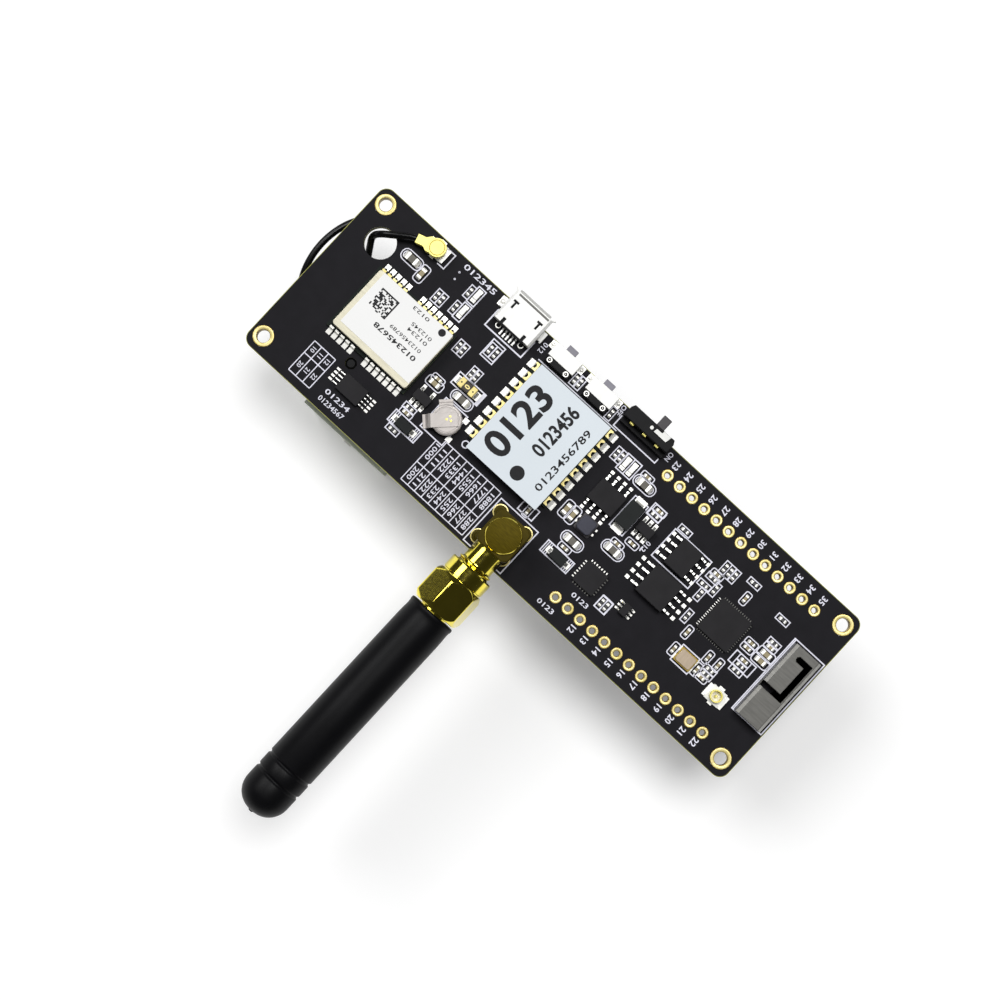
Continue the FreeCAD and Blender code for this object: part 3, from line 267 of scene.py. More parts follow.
def ribbon(bm, points, width, closed=True, low=0.0, high=0.025):
    """A printed line of even width through the points, as a thin closed solid."""
    count = len(points)
    left, right = [], []
    for i, (x, y) in enumerate(points):
        before = points[i - 1] if closed or i > 0 else None
        after = points[(i + 1) % count] if closed or i < count - 1 else None
        ways = []
        if before:
            ways.append(Vector((x - before[0], y - before[1])).normalized())
        if after:
            ways.append(Vector((after[0] - x, after[1] - y)).normalized())
        sides = [Vector((-w.y, w.x)) for w in ways]
        side = sum(sides, Vector((0, 0)))
        side = side / max(side.dot(sides[0]), 0.3)
        left.append((x + side.x * width / 2, y + side.y * width / 2))
        right.append((x - side.x * width / 2, y - side.y * width / 2))
    rows = []
    for line in (left, right):
        for level in (low, high):
            rows.append([bm.verts.new((x, y, level)) for x, y in line])
    left_low, left_high, right_low, right_high = rows
    for i in range(count if closed else count - 1):
        j = (i + 1) % count
        bm.faces.new((left_high[i], left_high[j], right_high[j], right_high[i]))
        bm.faces.new((left_low[i], right_low[i], right_low[j], left_low[j]))
        bm.faces.new((left_low[i], left_low[j], left_high[j], left_high[i]))
        bm.faces.new((right_low[i], right_high[i], right_high[j], right_low[j]))
    if not closed:
        bm.faces.new((left_low[0], left_high[0], right_high[0], right_low[0]))
        bm.faces.new((left_low[-1], right_low[-1], right_high[-1], left_high[-1]))


def turned(bm, profile, sides, center, axis="z", mats=None, closed=False):
    """Turn a profile of (radius, height) about an upright axis or about the antenna's axis."""
    rings = []
    for radius, height in profile:
        ring = []
        for i in range(sides if radius > 1e-6 else 1):
            t = 2 * math.pi * i / sides
            a, b = center[0] + radius * math.cos(t), center[1] + radius * math.sin(t)
            ring.append(bm.verts.new((a, b, height) if axis == "z" else (a, height, b)))
        rings.append(ring)
    pairs = zip(rings, rings[1:] + ([rings[0]] if closed else []))
    for k, (one, two) in enumerate(pairs):
        for i in range(sides):
            j = (i + 1) % sides
            corners = [one[i % len(one)], one[j % len(one)], two[j % len(two)], two[i % len(two)]]
            corners = list(dict.fromkeys(corners))
            if len(corners) > 2:
                bm.faces.new(corners).material_index = mats[k] if mats else 0


def blob(bm, x, y, z, radius, height, sides=12):
    """A low dome of solder."""
    profile = [(radius, z), (radius * 0.93, z + height * 0.45),
               (radius * 0.66, z + height * 0.82), (radius * 0.3, z + height * 0.97),
               (0, z + height)]
    first = len(bm.verts)
    turned(bm, profile, sides, (x, y))
    bm.verts.ensure_lookup_table()
    bm.faces.new([bm.verts[first + i] for i in reversed(range(sides))])


FONT_DEPTH = 0.01


def words(bm, text, x, y, height, turn=0, low=0.0, thick=0.025, weight=0.012, width=None):
    """Print plain characters, centred, with the given height and width."""
    font = bpy.data.curves.new("words", "FONT")
    font.body = text
    font.align_x = "CENTER"
    font.resolution_u = 5 if height > 2 else 2
    font.offset = weight
    font.extrude = FONT_DEPTH
    carrier = bpy.data.objects.new("words", font)
    bpy.context.scene.collection.objects.link(carrier)
    bpy.context.view_layer.update()
    made = bpy.data.meshes.new_from_object(
        carrier.evaluated_get(bpy.context.evaluated_depsgraph_get()))
    xs = [v.co.x for v in made.vertices]
    ys = [v.co.y for v in made.vertices]
    scale = height / (max(ys) - min(ys))
    wide = width / (max(xs) - min(xs)) if width else scale
    middle = ((max(xs) + min(xs)) / 2, (max(ys) + min(ys)) / 2)
    move = Matrix.Translation((-middle[0], -middle[1], FONT_DEPTH))
    size = Matrix.Diagonal((wide, scale, thick / (2 * FONT_DEPTH), 1))
    place = Matrix.Translation((x, y, low)) @ Matrix.Rotation(math.radians(turn), 4, "Z")
    print_bm = bmesh.new()
    print_bm.from_mesh(made)
    bmesh.ops.transform(print_bm, matrix=place @ size @ move, verts=print_bm.verts)
    bmesh.ops.remove_doubles(print_bm, verts=print_bm.verts, dist=0.0002)
    print_bm.to_mesh(made)
    print_bm.free()
    bm.from_mesh(made)
    bpy.data.objects.remove(carrier)
    bpy.data.curves.remove(font)
    bpy.data.meshes.remove(made)


def piece(name, bm, mats, body="board", replaces=(), bevel=0.0, steps=2,
          smooth=None):
    """Make the scene's piece from the mesh, with a material list and a body."""
    bmesh.ops.recalc_face_normals(bm, faces=bm.faces)
    if smooth:
        for face in bm.faces:
            face.smooth = True
        for edge in bm.edges:
            if len(edge.link_faces) == 2 and edge.calc_face_angle(0) > math.radians(smooth):
                edge.smooth = False
    bmesh.ops.scale(bm, vec=(MM, MM, MM), verts=bm.verts)
    mesh = bpy.data.meshes.new(name)
    bm.to_mesh(mesh)
    bm.free()
    for mat in mats:
        mesh.materials.append(mat)
    made = bpy.data.objects.new(name, mesh)
    bpy.context.scene.collection.objects.link(made)
    if bevel:
        modifier = made.modifiers.new("bevel", "BEVEL")
        modifier.width = bevel * MM
        modifier.segments = steps
        modifier.limit_method = "ANGLE"
        modifier.angle_limit = math.radians(40)
    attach(made, body)
    if replaces:
        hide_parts(*replaces)
    return made


def dress(mat, *names):
    """Give the CAD's own nodes a material."""
    for name in names:
        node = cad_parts[name]
        if not node.material_slots:
            node.data.materials.append(mat)
        for place in node.material_slots:
            place.material = mat


bpy.context.scene.view_settings.view_transform = "Standard"

# Camera
camera = bpy.data.objects.new("camera", bpy.data.cameras.new("camera"))
camera.data.sensor_width = 36
camera.data.lens = 72
camera.data.clip_start = 0.005
camera.data.clip_end = 20
right = Vector((0.73459, 0.67851, 0.00041))
down = Vector((0.67797, -0.73399, -0.04015))
forward = Vector((-0.02694, 0.02977, -0.99919))
seat = Matrix((right, -down, -forward)).transposed().to_4x4()
seat.translation = Vector((4.44, -16.82, 306.66)) * MM
camera.matrix_world = seat
bpy.context.scene.collection.objects.link(camera)
bpy.context.scene.camera = camera


# The positioning antenna's cable
CABLE_RADIUS = 0.565
CABLE_ROUTE = (
    (-40.399, 13.141, 1.4), (-41.25, 12.82, 1.4), (-43.15, 11.3, 1.4), (-45.05, 10.0, 1.0),
    (-46.2, 9.05, -0.8), (-45.5, 7.6, -2.5), (-43.75, 4.6, -4.2), (-41.3, 3.9, -5.0),
    (-39.1, 5.1, -5.6), (-38.55, 7.6, -6.0), (-39.9, 11.1, -6.4), (-43.8, 13.5, -6.5),
    (-47.7, 12.7, -6.1), (-50.6, 9.4, -5.5), (-51.9, 5.0, -5.1), (-51.75, 0.4, -5.1),
    (-50.2, -3.9, -5.7), (-46.6, -7.6, -6.8), (-41.8, -10.4, -8.0), (-38.6, -11.3, -8.6),
    (-35.95, -11.325, -8.8))
curve = bpy.data.curves.new("cable_line", "CURVE")
curve.dimensions = "3D"
curve.bevel_depth = CABLE_RADIUS * MM
curve.bevel_resolution = 5
curve.resolution_u = 10
curve.use_fill_caps = True
line = curve.splines.new("NURBS")
line.points.add(len(CABLE_ROUTE) - 1)
for point, spot in zip(line.points, CABLE_ROUTE):
    point.co = (spot[0] * MM, spot[1] * MM, spot[2] * MM, 1)
line.order_u = 3
line.use_endpoint_u = True
curve.materials.append(CABLE)
cable = bpy.data.objects.new("antenna_cable", curve)
bpy.context.scene.collection.objects.link(cable)
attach(cable, "board")
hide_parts("gps_cable")


# The board and the nodes that stay as the CAD has them
dress(MASK, "main_board")
dress(CHIP, "module_chips")
dress(SHIELD, "radio_shield")
dress(LABEL, "radio_label")
dress(GPS_LABEL, "gps_label")
dress(MODULE_MASK, "gps_board", "patch_board")
dress(WHITE, "jack_insulator")
dress(GOLD, "jack_contact", "antenna_ferrule")
dress(SOLDER, "patch_electrode")

# Plated holes: header pads and mounting rings, each a turned ring with a bright top, and with its
# rounded outer edge and hole wall in a darker gold that paints shade
HEADER = [(12.54 + PITCH * i, y) for y in (-12.88, 12.52) for i in range(13)]
MOUNTS = [(x, y) for x in (-47.75, 47.75) for y in (-13.85, 13.85)]
RING_LOW = BOARD_LOW - 0.05
# Faces marked 1 take the darker gold: painted shade on the ring's outer edge and in the hole
HOLE_MATS = [0, 0, 0, 0, 0, 1, 1, 0, 1, 1]
bm = bmesh.new()
for spot in HEADER:
    turned(bm, [(0.46, RING_LOW), (0.9, RING_LOW), (0.93, BOARD_LOW), (0.86, BOARD_LOW), (0.86, 0),
                (0.95, 0), (0.94, 0.035), (0.86, 0.05), (0.56, 0.05), (0.46, 0.0)],
           28, spot, closed=True, mats=HOLE_MATS)
piece("header_rings", bm, [PLATE, GOLD_RIM_AND_SHADE], replaces=["header_pads"], smooth=40)
bm = bmesh.new()
for spot in MOUNTS:
    turned(bm, [(1.05, RING_LOW), (1.62, RING_LOW), (1.64, BOARD_LOW), (1.55, BOARD_LOW), (1.55, 0),
                (1.67, 0), (1.66, 0.035), (1.6, 0.05), (1.13, 0.05), (1.05, 0.0)],
           44, spot, closed=True, mats=HOLE_MATS)
piece("mounting_hole_rings", bm, [PLATE, GOLD_RIM_AND_SHADE], replaces=["mounting_rings"],
      smooth=40)

# The radio module's own board with half holes along two sides
LEFT, RIGHT, LOWER, UPPER = -14.0, 2.0, -3.9, 12.1
NOTCH = 0.4
PAD_ROWS = [4.1 + (i - 3.5) * 2 for i in range(8)]
outline = [(LEFT, LOWER), (RIGHT, LOWER)]
for y in PAD_ROWS:
    outline += arc(RIGHT, y, NOTCH, 270, 90, 8)
outline += [(RIGHT, UPPER), (LEFT, UPPER)]
for y in reversed(PAD_ROWS):
    outline += arc(LEFT, y, NOTCH, 90, -90, 8)
bm = bmesh.new()
prism(bm, outline, 0, MODULE_TOP)
piece("radio_module_board", bm, [MODULE_MASK], replaces=["radio_board"])
bm = bmesh.new()
for y in PAD_ROWS:
    for side, edge, notch in ((-1, LEFT, (90, -90)), (1, RIGHT, (270, 90))):
        land = [(edge - side * 0.7, y + side * 0.7), (edge - side * 0.7, y - side * 0.7),
                (edge, y - side * 0.7)]
        land += arc(edge, y, NOTCH, *notch, 8)
        land.append((edge, y + side * 0.7))
        prism(bm, land, MODULE_TOP, MODULE_TOP + 0.05, 0)
        foot = [(edge, 0.0), (edge + side * 1.05, 0.0), (edge + side * 1.05, 0.05),
                (edge + side * 0.55, 0.09), (edge + side * 0.22, 0.2), (edge, 0.42)]
        prism(bm, foot, y - 0.69, y + 0.69, 1, FROM_XZ)
piece("radio_module_pads", bm, [PLATE, SOLDER], replaces=["radio_pads"],
      bevel=0.04)

# The positioning module's pads, with a black dot of painted shade at each upper half hole, and its
# metal can
CAN_TOP = 2.4
bm = bmesh.new()
for i in range(12):
    x = -40.8 + 1.1 * i + (1.9 if i > 4 else 0)
    for y, side in ((6.35, 1), (-5.85, -1)):
        foot = [(y, 0.0), (y + side * 1.05, 0.0), (y + side * 1.05, 0.06),
                (y + side * 0.2, 0.1), (y + side * 0.06, 0.4), (y, 0.5)]
        prism(bm, foot, x - 0.4, x + 0.4, 0, FROM_YZ)
        near, far = sorted((y, y - side * 0.35))
        box(bm, x - 0.38, x + 0.38, near, far, MODULE_TOP, MODULE_TOP + 0.04,
            1 if side > 0 else 0)
        if side > 0:
            # A black dot at the half hole, painted shade
            prism(bm, circle(x, y + 0.12, 0.2, 12), 0.5, 0.66, 2)
piece("positioning_pads", bm, [SOLDER, PLATE, INK_AND_SHADE], replaces=["gps_pads"],
      bevel=0.04)
bm = bmesh.new()
made = prism(bm, rounded(-41.15, -25.95, -5.2, 5.9, 0.45, 4), MODULE_TOP, CAN_TOP)
bmesh.ops.delete(bm, geom=[made[0]], context="FACES_ONLY")
can = piece("positioning_can", bm, [SHIELD], replaces=["gps_shield"])
wall = can.modifiers.new("sheet", "SOLIDIFY")
wall.thickness = 0.2 * MM
rim = can.modifiers.new("bevel", "BEVEL")
rim.width = 0.17 * MM
rim.segments = 3
rim.limit_method = "ANGLE"
rim.angle_limit = math.radians(50)

# Printing on the two labels: a dot and plain digits, and on one a square code of seeded cells
PRINT = 0.015
CODE_CELLS = 14
CODE_CELL = 3.5 / CODE_CELLS
CODE_X, CODE_Y = -38.95, 0.5
bm = bmesh.new()
low = 2.46
prism(bm, circle(-27.6, 5.0, 0.6, 28), low, low + PRINT)
for i in range(CODE_CELLS):
    run = None
    for j in range(CODE_CELLS + 1):
        edge_cell = i == CODE_CELLS - 1 or j == CODE_CELLS - 1
        dark = j < CODE_CELLS and (edge_cell or RNG.random() < 0.5)
        if dark and run is None:
            run = j
        if not dark and run is not None:
            box(bm, CODE_X + CODE_CELL * run, CODE_X + CODE_CELL * j, CODE_Y + CODE_CELL * i,
                CODE_Y + CODE_CELL * (i + 0.97), low, low + PRINT)
            run = None
for text, x, y, height, width in (
        ("0123", -31.9, 5.0, 0.6, 3.2), ("012345", -30.0, 3.0, 0.62, 4.0),
        ("01234", -30.0, 2.0, 0.62, 3.9), ("0123456789", -31.1, 0.55, 0.62, 6.2),
        ("012345678", -32.0, -0.9, 0.85, 8.4)):
    words(bm, text, x, y, height, turn=180, low=low, thick=PRINT,
          weight=0.02 if height > 0.8 else 0.004, width=width)
piece("positioning_label_print", bm, [INK_AND_SHADE])
bm = bmesh.new()
low = 3.12
for text, x, y, height, weight, width in (
        ("0123", -9.85, 2.9, 4.5, 0.03, 12.4), ("0123456", -4.6, 5.6, 2.4, 0.03, 9.0),
        ("0123456789", -0.75, 3.1, 1.25, 0.014, 12.0)):
    words(bm, text, x, y, height, turn=90, low=low, thick=PRINT, weight=weight, width=width)
prism(bm, circle(-4.6, -3.0, 1.15, 40), low, low + PRINT)
piece("radio_label_print", bm, [INK_AND_SHADE])

# Chip resistors and capacitors with their metal ends and solder
SMALL, MEDIUM, LARGE = (1.0, 0.5, 0.38), (1.6, 0.8, 0.6), (2.0, 1.2, 0.85)
CAPACITORS = (
    (-38.95, 10.4, "x", LARGE), (-36.35, 9.75, "y", MEDIUM), (-23.4, -0.5, "x", SMALL),
    (-23.35, -1.35, "x", MEDIUM), (-23.5, -7.65, "x", SMALL), (-18.55, -0.4, "x", LARGE),
    (10.45, 10.25, "x", SMALL), (10.95, 9.0, "x", LARGE), (4.6, -1.75, "y", MEDIUM),
    (5.95, -1.8, "y", MEDIUM), (8.6, -4.85, "x", LARGE), (8.45, -6.4, "x", SMALL),
    (15.4, 7.6, "x", SMALL), (15.6, 1.1, "x", SMALL), (14.1, -1.65, "x", LARGE),
    (13.95, -0.45, "x", SMALL), (28.4, 6.45, "x", SMALL), (34.05, 6.7, "y", SMALL),
    (30.95, -3.1, "y", SMALL), (31.15, -6.4, "y", SMALL), (35.9, -3.8, "y", SMALL),
    (35.85, -6.35, "y", SMALL), (37.85, -3.65, "y", SMALL), (39.35, 2.3, "x", SMALL),
    (39.35, 1.3, "x", SMALL), (41.9, 3.75, "x", SMALL), (42.15, 2.55, "x", MEDIUM),
    (42.15, 1.2, "x", MEDIUM), (40.35, -0.45, "x", SMALL), (37.15, -6.8, "x", SMALL),
    (0.5, -5.95, "y", SMALL))
RESISTORS = (
    (-32.3, 8.85, "y"), (-31.35, 8.85, "y"), (-29.0, 12.7, "y"), (-29.05, 9.4, "y"),
    (-24.55, 5.4, "y"), (-23.65, 5.4, "y"), (-20.2, 3.75, "y"), (-19.35, 3.75, "y"),
    (-20.65, 8.32, "y"), (-19.55, 8.32, "y"), (-23.6, -6.75, "x"), (-23.3, -10.95, "x"),
    (-7.85, 13.85, "y"), (-7.0, 13.85, "y"), (-0.3, 13.65, "y"), (4.5, 9.75, "y"),
    (5.4, 9.75, "y"), (15.25, 6.7, "x"), (20.25, 8.1, "x"), (28.6, 8.05, "y"),
    (29.6, 8.05, "y"), (30.5, 8.05, "y"), (28.3, 5.6, "x"), (29.7, 4.55, "y"),
    (28.0, 3.95, "x"), (28.45, 2.5, "y"), (33.5, 9.3, "x"), (29.25, -1.3, "y"),
    (40.45, 8.15, "x"), (18.25, -8.7, "y"), (19.2, -8.7, "y"), (41.9, 4.6, "x"),
    (37.4, -5.05, "x"), (37.4, -5.95, "x"), (40.35, -1.4, "x"), (40.4, -2.4, "x"))


def chip_part(bm, x, y, way, size, cover):
    """A chip part: body, two metal caps and the solder that runs out from them."""
    length, width, height = size
    turn = Matrix.Translation((x, y, 0))
    if way == "y":
        turn = turn @ Matrix.Rotation(math.pi / 2, 4, "Z")
    half, wide = length / 2, width / 2
    cap = length * 0.24
    box(bm, -half + cap, half - cap, -wide * 0.96, wide * 0.96, 0.02, height * 0.97, cover, turn)
    for side in (-1, 1):
        near, far = sorted((side * half, side * (half - cap)))
        box(bm, near, far, -wide, wide, 0.0, height, 0, turn)
        reach = side * (half + (0.45 if size is LARGE else 0.16 + 0.08 * width))
        flank = [(side * half, 0.0), (reach, 0.0), (reach, 0.03),
                 (side * (half + 0.05), height * 0.6), (side * half, height * 0.6)]
        prism(bm, flank, -wide * 1.02, wide * 1.02, 0, turn @ FROM_XZ)


bm = bmesh.new()
for x, y, way, size in CAPACITORS:
    chip_part(bm, x, y, way, size, 2 if size is LARGE else 1)
piece("chip_capacitors", bm, [SOLDER, TAN, BROWN], replaces=["capacitors"],
      bevel=0.03)
bm = bmesh.new()
for x, y, way in RESISTORS:
    chip_part(bm, x, y, way, SMALL, 1)
piece("chip_resistors", bm, [SOLDER, RESIST], replaces=["resistors"],
      bevel=0.03)


def soften(node, mat, width, slot, steps=2, body="board"):
    """The CAD node's own shape with its sharp edges rounded a little."""
    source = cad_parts[node]
    bm = bmesh.new()
    bm.from_mesh(source.data)
    bmesh.ops.transform(bm, matrix=source.matrix_world, verts=bm.verts)
    bmesh.ops.remove_doubles(bm, verts=bm.verts, dist=2e-6)
    bmesh.ops.dissolve_limit(bm, angle_limit=math.radians(1), verts=bm.verts, edges=bm.edges)
    bmesh.ops.scale(bm, vec=(1 / MM, 1 / MM, 1 / MM), verts=bm.verts)
    for face in bm.faces:
        face.material_index = 0
    made = piece(node + "_shape", bm, [mat], body=body, replaces=[node],
                 bevel=width, steps=steps)
    made.modifiers["bevel"].use_clamp_overlap = True


for row in (
        ("usb_shell", NICKEL, 0.07, "socket_shell"),
        ("usb_tongue", BLACK, 0.04, "black_plastic"),
        ("usb_contacts", TIN, 0.03, "gold"),
        ("button_covers", NICKEL, 0.06, "socket_shell"),
        ("button_bases", BLACK, 0.05, "black_plastic"),
        ("reset_button_plunger", GREY, 0.08, "grey_plastic", 2, "reset_plunger"),
        ("user_button_plunger", GREY, 0.08, "grey_plastic", 2, "user_plunger"),
        ("switch_body", BLACK, 0.08, "black_plastic"),
        ("switch_knob", DARK_GREY, 0.1, "grey_plastic", 2, "knob"),
        ("switch_pins", COAX, 0.05, "tin"),
        ("wifi_antenna", STEEL_AND_SHADE, 0.09, "steel", 3),
        ("battery_holder", BLACK, 0.25, "black_plastic", 3),
        ("battery_contacts", STEEL_AND_SHADE, 0.06, "steel"),
        ("processor_chip", CHIP, 0.06, "chip_black"),
        ("usb_bridge_chip", CHIP, 0.05, "chip_black"),
        ("flash_chip", CHIP, 0.1, "chip_black"),
        ("memory_chip", CHIP, 0.1, "chip_black"),
        ("charger_chip", CHIP, 0.1, "chip_black"),
        ("small_chips", CHIP, 0.07, "chip_black"),
        ("component_leads", LEAD, 0.05, "tin"),
        ("diodes", DIODE, 0.07, "chip_black"),
        ("backup_cell_tabs", CELL, 0.03, "steel"),
        ("patch_ceramic", CERAMIC, 0.12, "ceramic", 3),
        ("patch_shield", SHIELD, 0.1, "shield"),
        ("gps_plug", COAX, 0.2, "gold", 3),
        ("coax_jack_bases", WHITE, 0.06, "white_plastic")):
    soften(*row)

# The stamped antenna's bent faces that turn toward +X and up get a lighter copy of the steel, a
# painted highlight
antenna = bpy.data.objects["wifi_antenna_shape"].data
antenna.materials.append(PAINTED_HIGHLIGHT_STEEL)
for face in antenna.polygons:
    if abs(face.normal.x) > 0.5 and face.normal.z > 0.5:
        face.material_index = 1

# Status lights, crystal, tantalum capacitor and inductor
bm = bmesh.new()
for x, y in ((-27.75, 12.95), (-27.75, 9.7), (6.55, 9.5), (7.9, 9.5)):
    box(bm, x - 0.4, x + 0.4, y - 0.88, y + 0.88, 0.03, 0.24, 0)
    box(bm, x - 0.39, x + 0.39, y - 0.56, y + 0.56, 0.24, 0.6, 1)
    for side in (-1, 1):
        near, far = sorted((y + side * 0.88, y + side * 0.6))
        box(bm, x - 0.425, x + 0.425, near, far, 0.0, 0.27, 2)
        near, far = sorted((y + side * 0.86, y + side * 1.15))
        box(bm, x - 0.42, x + 0.42, near, far, 0.0, 0.06, 2)
piece("status_light_parts", bm, [WHITE, LENS, SOLDER], replaces=["status_leds"],
      bevel=0.05)
bm = bmesh.new()
prism(bm, rounded(31.95, 35.15, -7.6, -5.1, 0.2, 3), 0.0, 0.45, 0)
prism(bm, rounded(32.15, 34.95, -7.4, -5.3, 0.3, 3), 0.45, 0.75, 1)
piece("crystal_case", bm, [GOLD_RIM_AND_SHADE, LID], replaces=["crystal"], bevel=0.06)
TANTALUM_Y, TANTALUM_TOP = 1.6, 1.58
bm = bmesh.new()
for x0, x1, mat in ((-20.75, -19.85, 0), (-19.85, -18.55, 1), (-18.55, -17.65, 0)):
    box(bm, x0, x1, TANTALUM_Y - 0.78, TANTALUM_Y + 0.78, 0.12, TANTALUM_TOP, mat)
piece("tantalum_body", bm, [YELLOW, AMBER], replaces=["tantalum_capacitor"],
      bevel=0.08)
bm = bmesh.new()
words(bm, "0", -19.2, TANTALUM_Y, 0.95, turn=90, low=TANTALUM_TOP, thick=0.02, weight=0.03)
for x in (-20.35, -18.05):
    prism(bm, circle(x, TANTALUM_Y, 0.13, 14), TANTALUM_TOP, TANTALUM_TOP + 0.02, 1)
piece("tantalum_mark", bm, [YELLOW, INK_AND_SHADE])
bm = bmesh.new()
prism(bm, rounded(7.05, 10.05, -3.1, -0.1, 0.25, 3), 0.0, 0.35, 1)
prism(bm, rounded(7.28, 9.82, -2.87, -0.33, 0.62, 5), 0.35, 1.5, 0)
piece("inductor_block", bm, [INDUCTOR, DARK_GREY], replaces=["power_inductor"],
      bevel=0.16, steps=3)

# Backup cell: a rolled can with a raised face, and weld spots on its tab
bm = bmesh.new()
turned(bm, [(0, 0.25), (2.25, 0.25), (2.37, 0.33), (2.4, 0.45), (2.4, 1.35), (2.36, 1.47),
            (2.25, 1.54), (2.05, 1.55), (2.0, 1.5), (1.9, 1.5), (1.85, 1.55), (0, 1.55)],
       64, (-18.1, -4.25))
piece("cell_can", bm, [CELL], replaces=["backup_cell"], smooth=35)
bm = bmesh.new()
for x, y in ((-18.05, -3.5), (-17.5, -3.95), (-18.15, -4.2)):
    turned(bm, [(0.19, 1.7), (0.19, 1.715), (0.12, 1.725), (0, 1.705)], 16, (x, y))
piece("weld_spots", bm, [COAX], smooth=35)

# The right-angle coaxial jack: block, grooved barrel, pressed top and soldered legs. The block, the
# top's face and the centres of the leg rings are a dark gold with little metal, a painted dark
# reflection and painted shade
GROOVES = 8
CAP_LOW, CAP_TOP = 7.3, 7.7
bm = bmesh.new()
prism(bm, rounded(JACK[0] - 3.15, JACK[0] + 3.15, JACK[1] - 3.15, JACK[1] + 3.15, 1.1, 6),
      0.05, CAP_LOW)
for spot in JACK_LEGS:
    prism(bm, circle(*spot, 0.5, 20), -2.4, 0.3)
piece("jack_block", bm, [PAINTED_DARK_GOLD], replaces=["jack_body"], bevel=0.22, steps=3)
bm = bmesh.new()
profile = [(2.1, -14.3), (2.65, -14.3)]
for i in range(GROOVES):
    y = -14.75 - i * 0.35
    profile += [(2.65, y), (2.62, y - 0.17)]
profile += [(2.65, -17.55), (2.72, -17.6), (2.95, -17.7)]
for i in range(GROOVES):
    y = -17.75 - i * 0.7
    profile += [(3.05, y), (3.05, y - 0.12), (2.78, y - 0.35), (2.8, y - 0.42)]
profile += [(3.0, -23.3), (2.9, -23.4), (2.1, -23.4)]
turned(bm, profile, 56, AXIS, axis="y", closed=True)
piece("jack_barrel", bm, [TURNED], smooth=40)
bm = bmesh.new()
turned(bm, [(0, CAP_LOW), (2.85, CAP_LOW), (2.85, 7.46), (2.81, 7.55), (2.7, 7.68),
            (2.64, CAP_TOP), (0, CAP_TOP)], 72, JACK, mats=[0, 1, 1, 1, 0, 0])
piece("jack_top", bm, [BRUSHED_GOLD_DARK_REFLECTION, GOLD], replaces=["jack_cap"], smooth=30)
bm = bmesh.new()
for spot in JACK_LEGS:
    turned(bm, [(1.24, 0.0), (1.22, 0.06), (1.04, 0.09), (0.98, 0.04), (0.6, 0.1), (0.52, 0.7),
                (0.0, 0.72)], 28, spot, mats=[0, 0, 1, 1, 1, 1])
    turned(bm, [(1.0, BOARD_LOW), (1.0, RING_LOW), (0.75, -1.8), (0.55, -2.3), (0.0, -2.45)],
           24, spot)
piece("jack_solder", bm, [PLATE, PAINTED_DARK_GOLD], smooth=40)

# The coupling nut: a hexagon with rounded corners that are turned back at both ends, and a collar
NUT_LOW, NUT_HIGH = -26.87, -20.9
FLAT = 3.925
ROUND = 0.42
CORNER = math.radians(103)
STEPS = (-30, -24, -18, -12, -8, -5, -3.2, -2.2, -1.3, -0.4, 0.4, 1.3, 2.2, 3.2, 5, 8, 12, 18, 24)
TURNS = [CORNER + math.radians(60 * i + step) for i in range(6) for step in STEPS]
DEPTHS = (0, 0.12, 0.26, 0.42, 0.6, 0.8, 1.0)


def hexagon_radius(t):
    """Distance from the axis to the wall at angle t from +X to +Z, with rounded corners."""
    bent = (t - CORNER + math.pi / 6) % (math.pi / 3) - math.pi / 6
    middle = (FLAT - ROUND) / math.cos(math.pi / 6)
    if abs(bent) < math.pi / 6 - math.atan(middle * 0.5 / FLAT):
        return middle * math.cos(bent) + math.sqrt(ROUND ** 2 - (middle * math.sin(bent)) ** 2)
    return FLAT / math.cos(abs(bent) - math.pi / 6)


# Each level has the largest radius that the wall may have there
levels = [(NUT_LOW + depth, 3.84 + 0.72 * depth ** 0.9) for depth in DEPTHS]
levels += [(NUT_HIGH - depth, 3.84 + 0.72 * depth ** 0.9) for depth in reversed(DEPTHS)]
levels += [(-20.88, 3.6), (-20.7, 3.6), (-20.62, 3.75), (-18.62, 3.75), (-18.4, 3.6),
           (-18.4, 3.25), (-18.55, 3.1), (-26.07, 3.1), (-26.07, 2.5), (NUT_LOW, 2.5)]
bm = bmesh.new()
rings = []
for y, limit in levels:
    walls = [(t, min(hexagon_radius(t), limit)) for t in TURNS]
    rings.append([bm.verts.new((AXIS[0] + radius * math.cos(t), y,
                                AXIS[1] + radius * math.sin(t))) for t, radius in walls])
for one, two in zip(rings, rings[1:] + rings[:1]):
    for i in range(len(TURNS)):
        j = (i + 1) % len(TURNS)
        bm.faces.new((one[i], one[j], two[j], two[i]))
piece("nut_turned", bm, [TURNED], body="nut", replaces=["coupling_nut"], smooth=24)

# The antenna's rubber sheath, with two grooves near its round tip
SHEATH = 4.0
TIP_FROM, TIP_LENGTH = -63.8, 3.7
bm = bmesh.new()
profile = [(2.46, -27.2), (3.82, -27.2), (3.98, -27.3), (4.02, -27.45), (4.02, -27.75),
           (3.94, -27.95), (3.91, -28.4), (3.92, -28.9), (3.97, -29.6), (SHEATH, -31.0),
           (SHEATH, -45.0)]
for y in (-58.9, -61.5):
    profile += [(SHEATH, y + 0.42), (3.96, y + 0.3), (3.78, y + 0.18), (3.74, y),
                (3.78, y - 0.18), (3.96, y - 0.3), (SHEATH, y - 0.42)]
profile.append((SHEATH, TIP_FROM))
for i in range(1, 14):
    a = math.radians(90 * i / 14)
    profile.append((SHEATH * math.cos(a) ** 0.9, TIP_FROM - TIP_LENGTH * math.sin(a)))
profile += [(0.42, -67.54), (0.36, -67.68), (0, -67.7), (0, -35.3), (2.46, -35.3)]
turned(bm, profile, 72, AXIS, axis="y", closed=True)
piece("rubber_sheath", bm, [RUBBER_AND_SHADE], replaces=["antenna_sheath"], smooth=45)
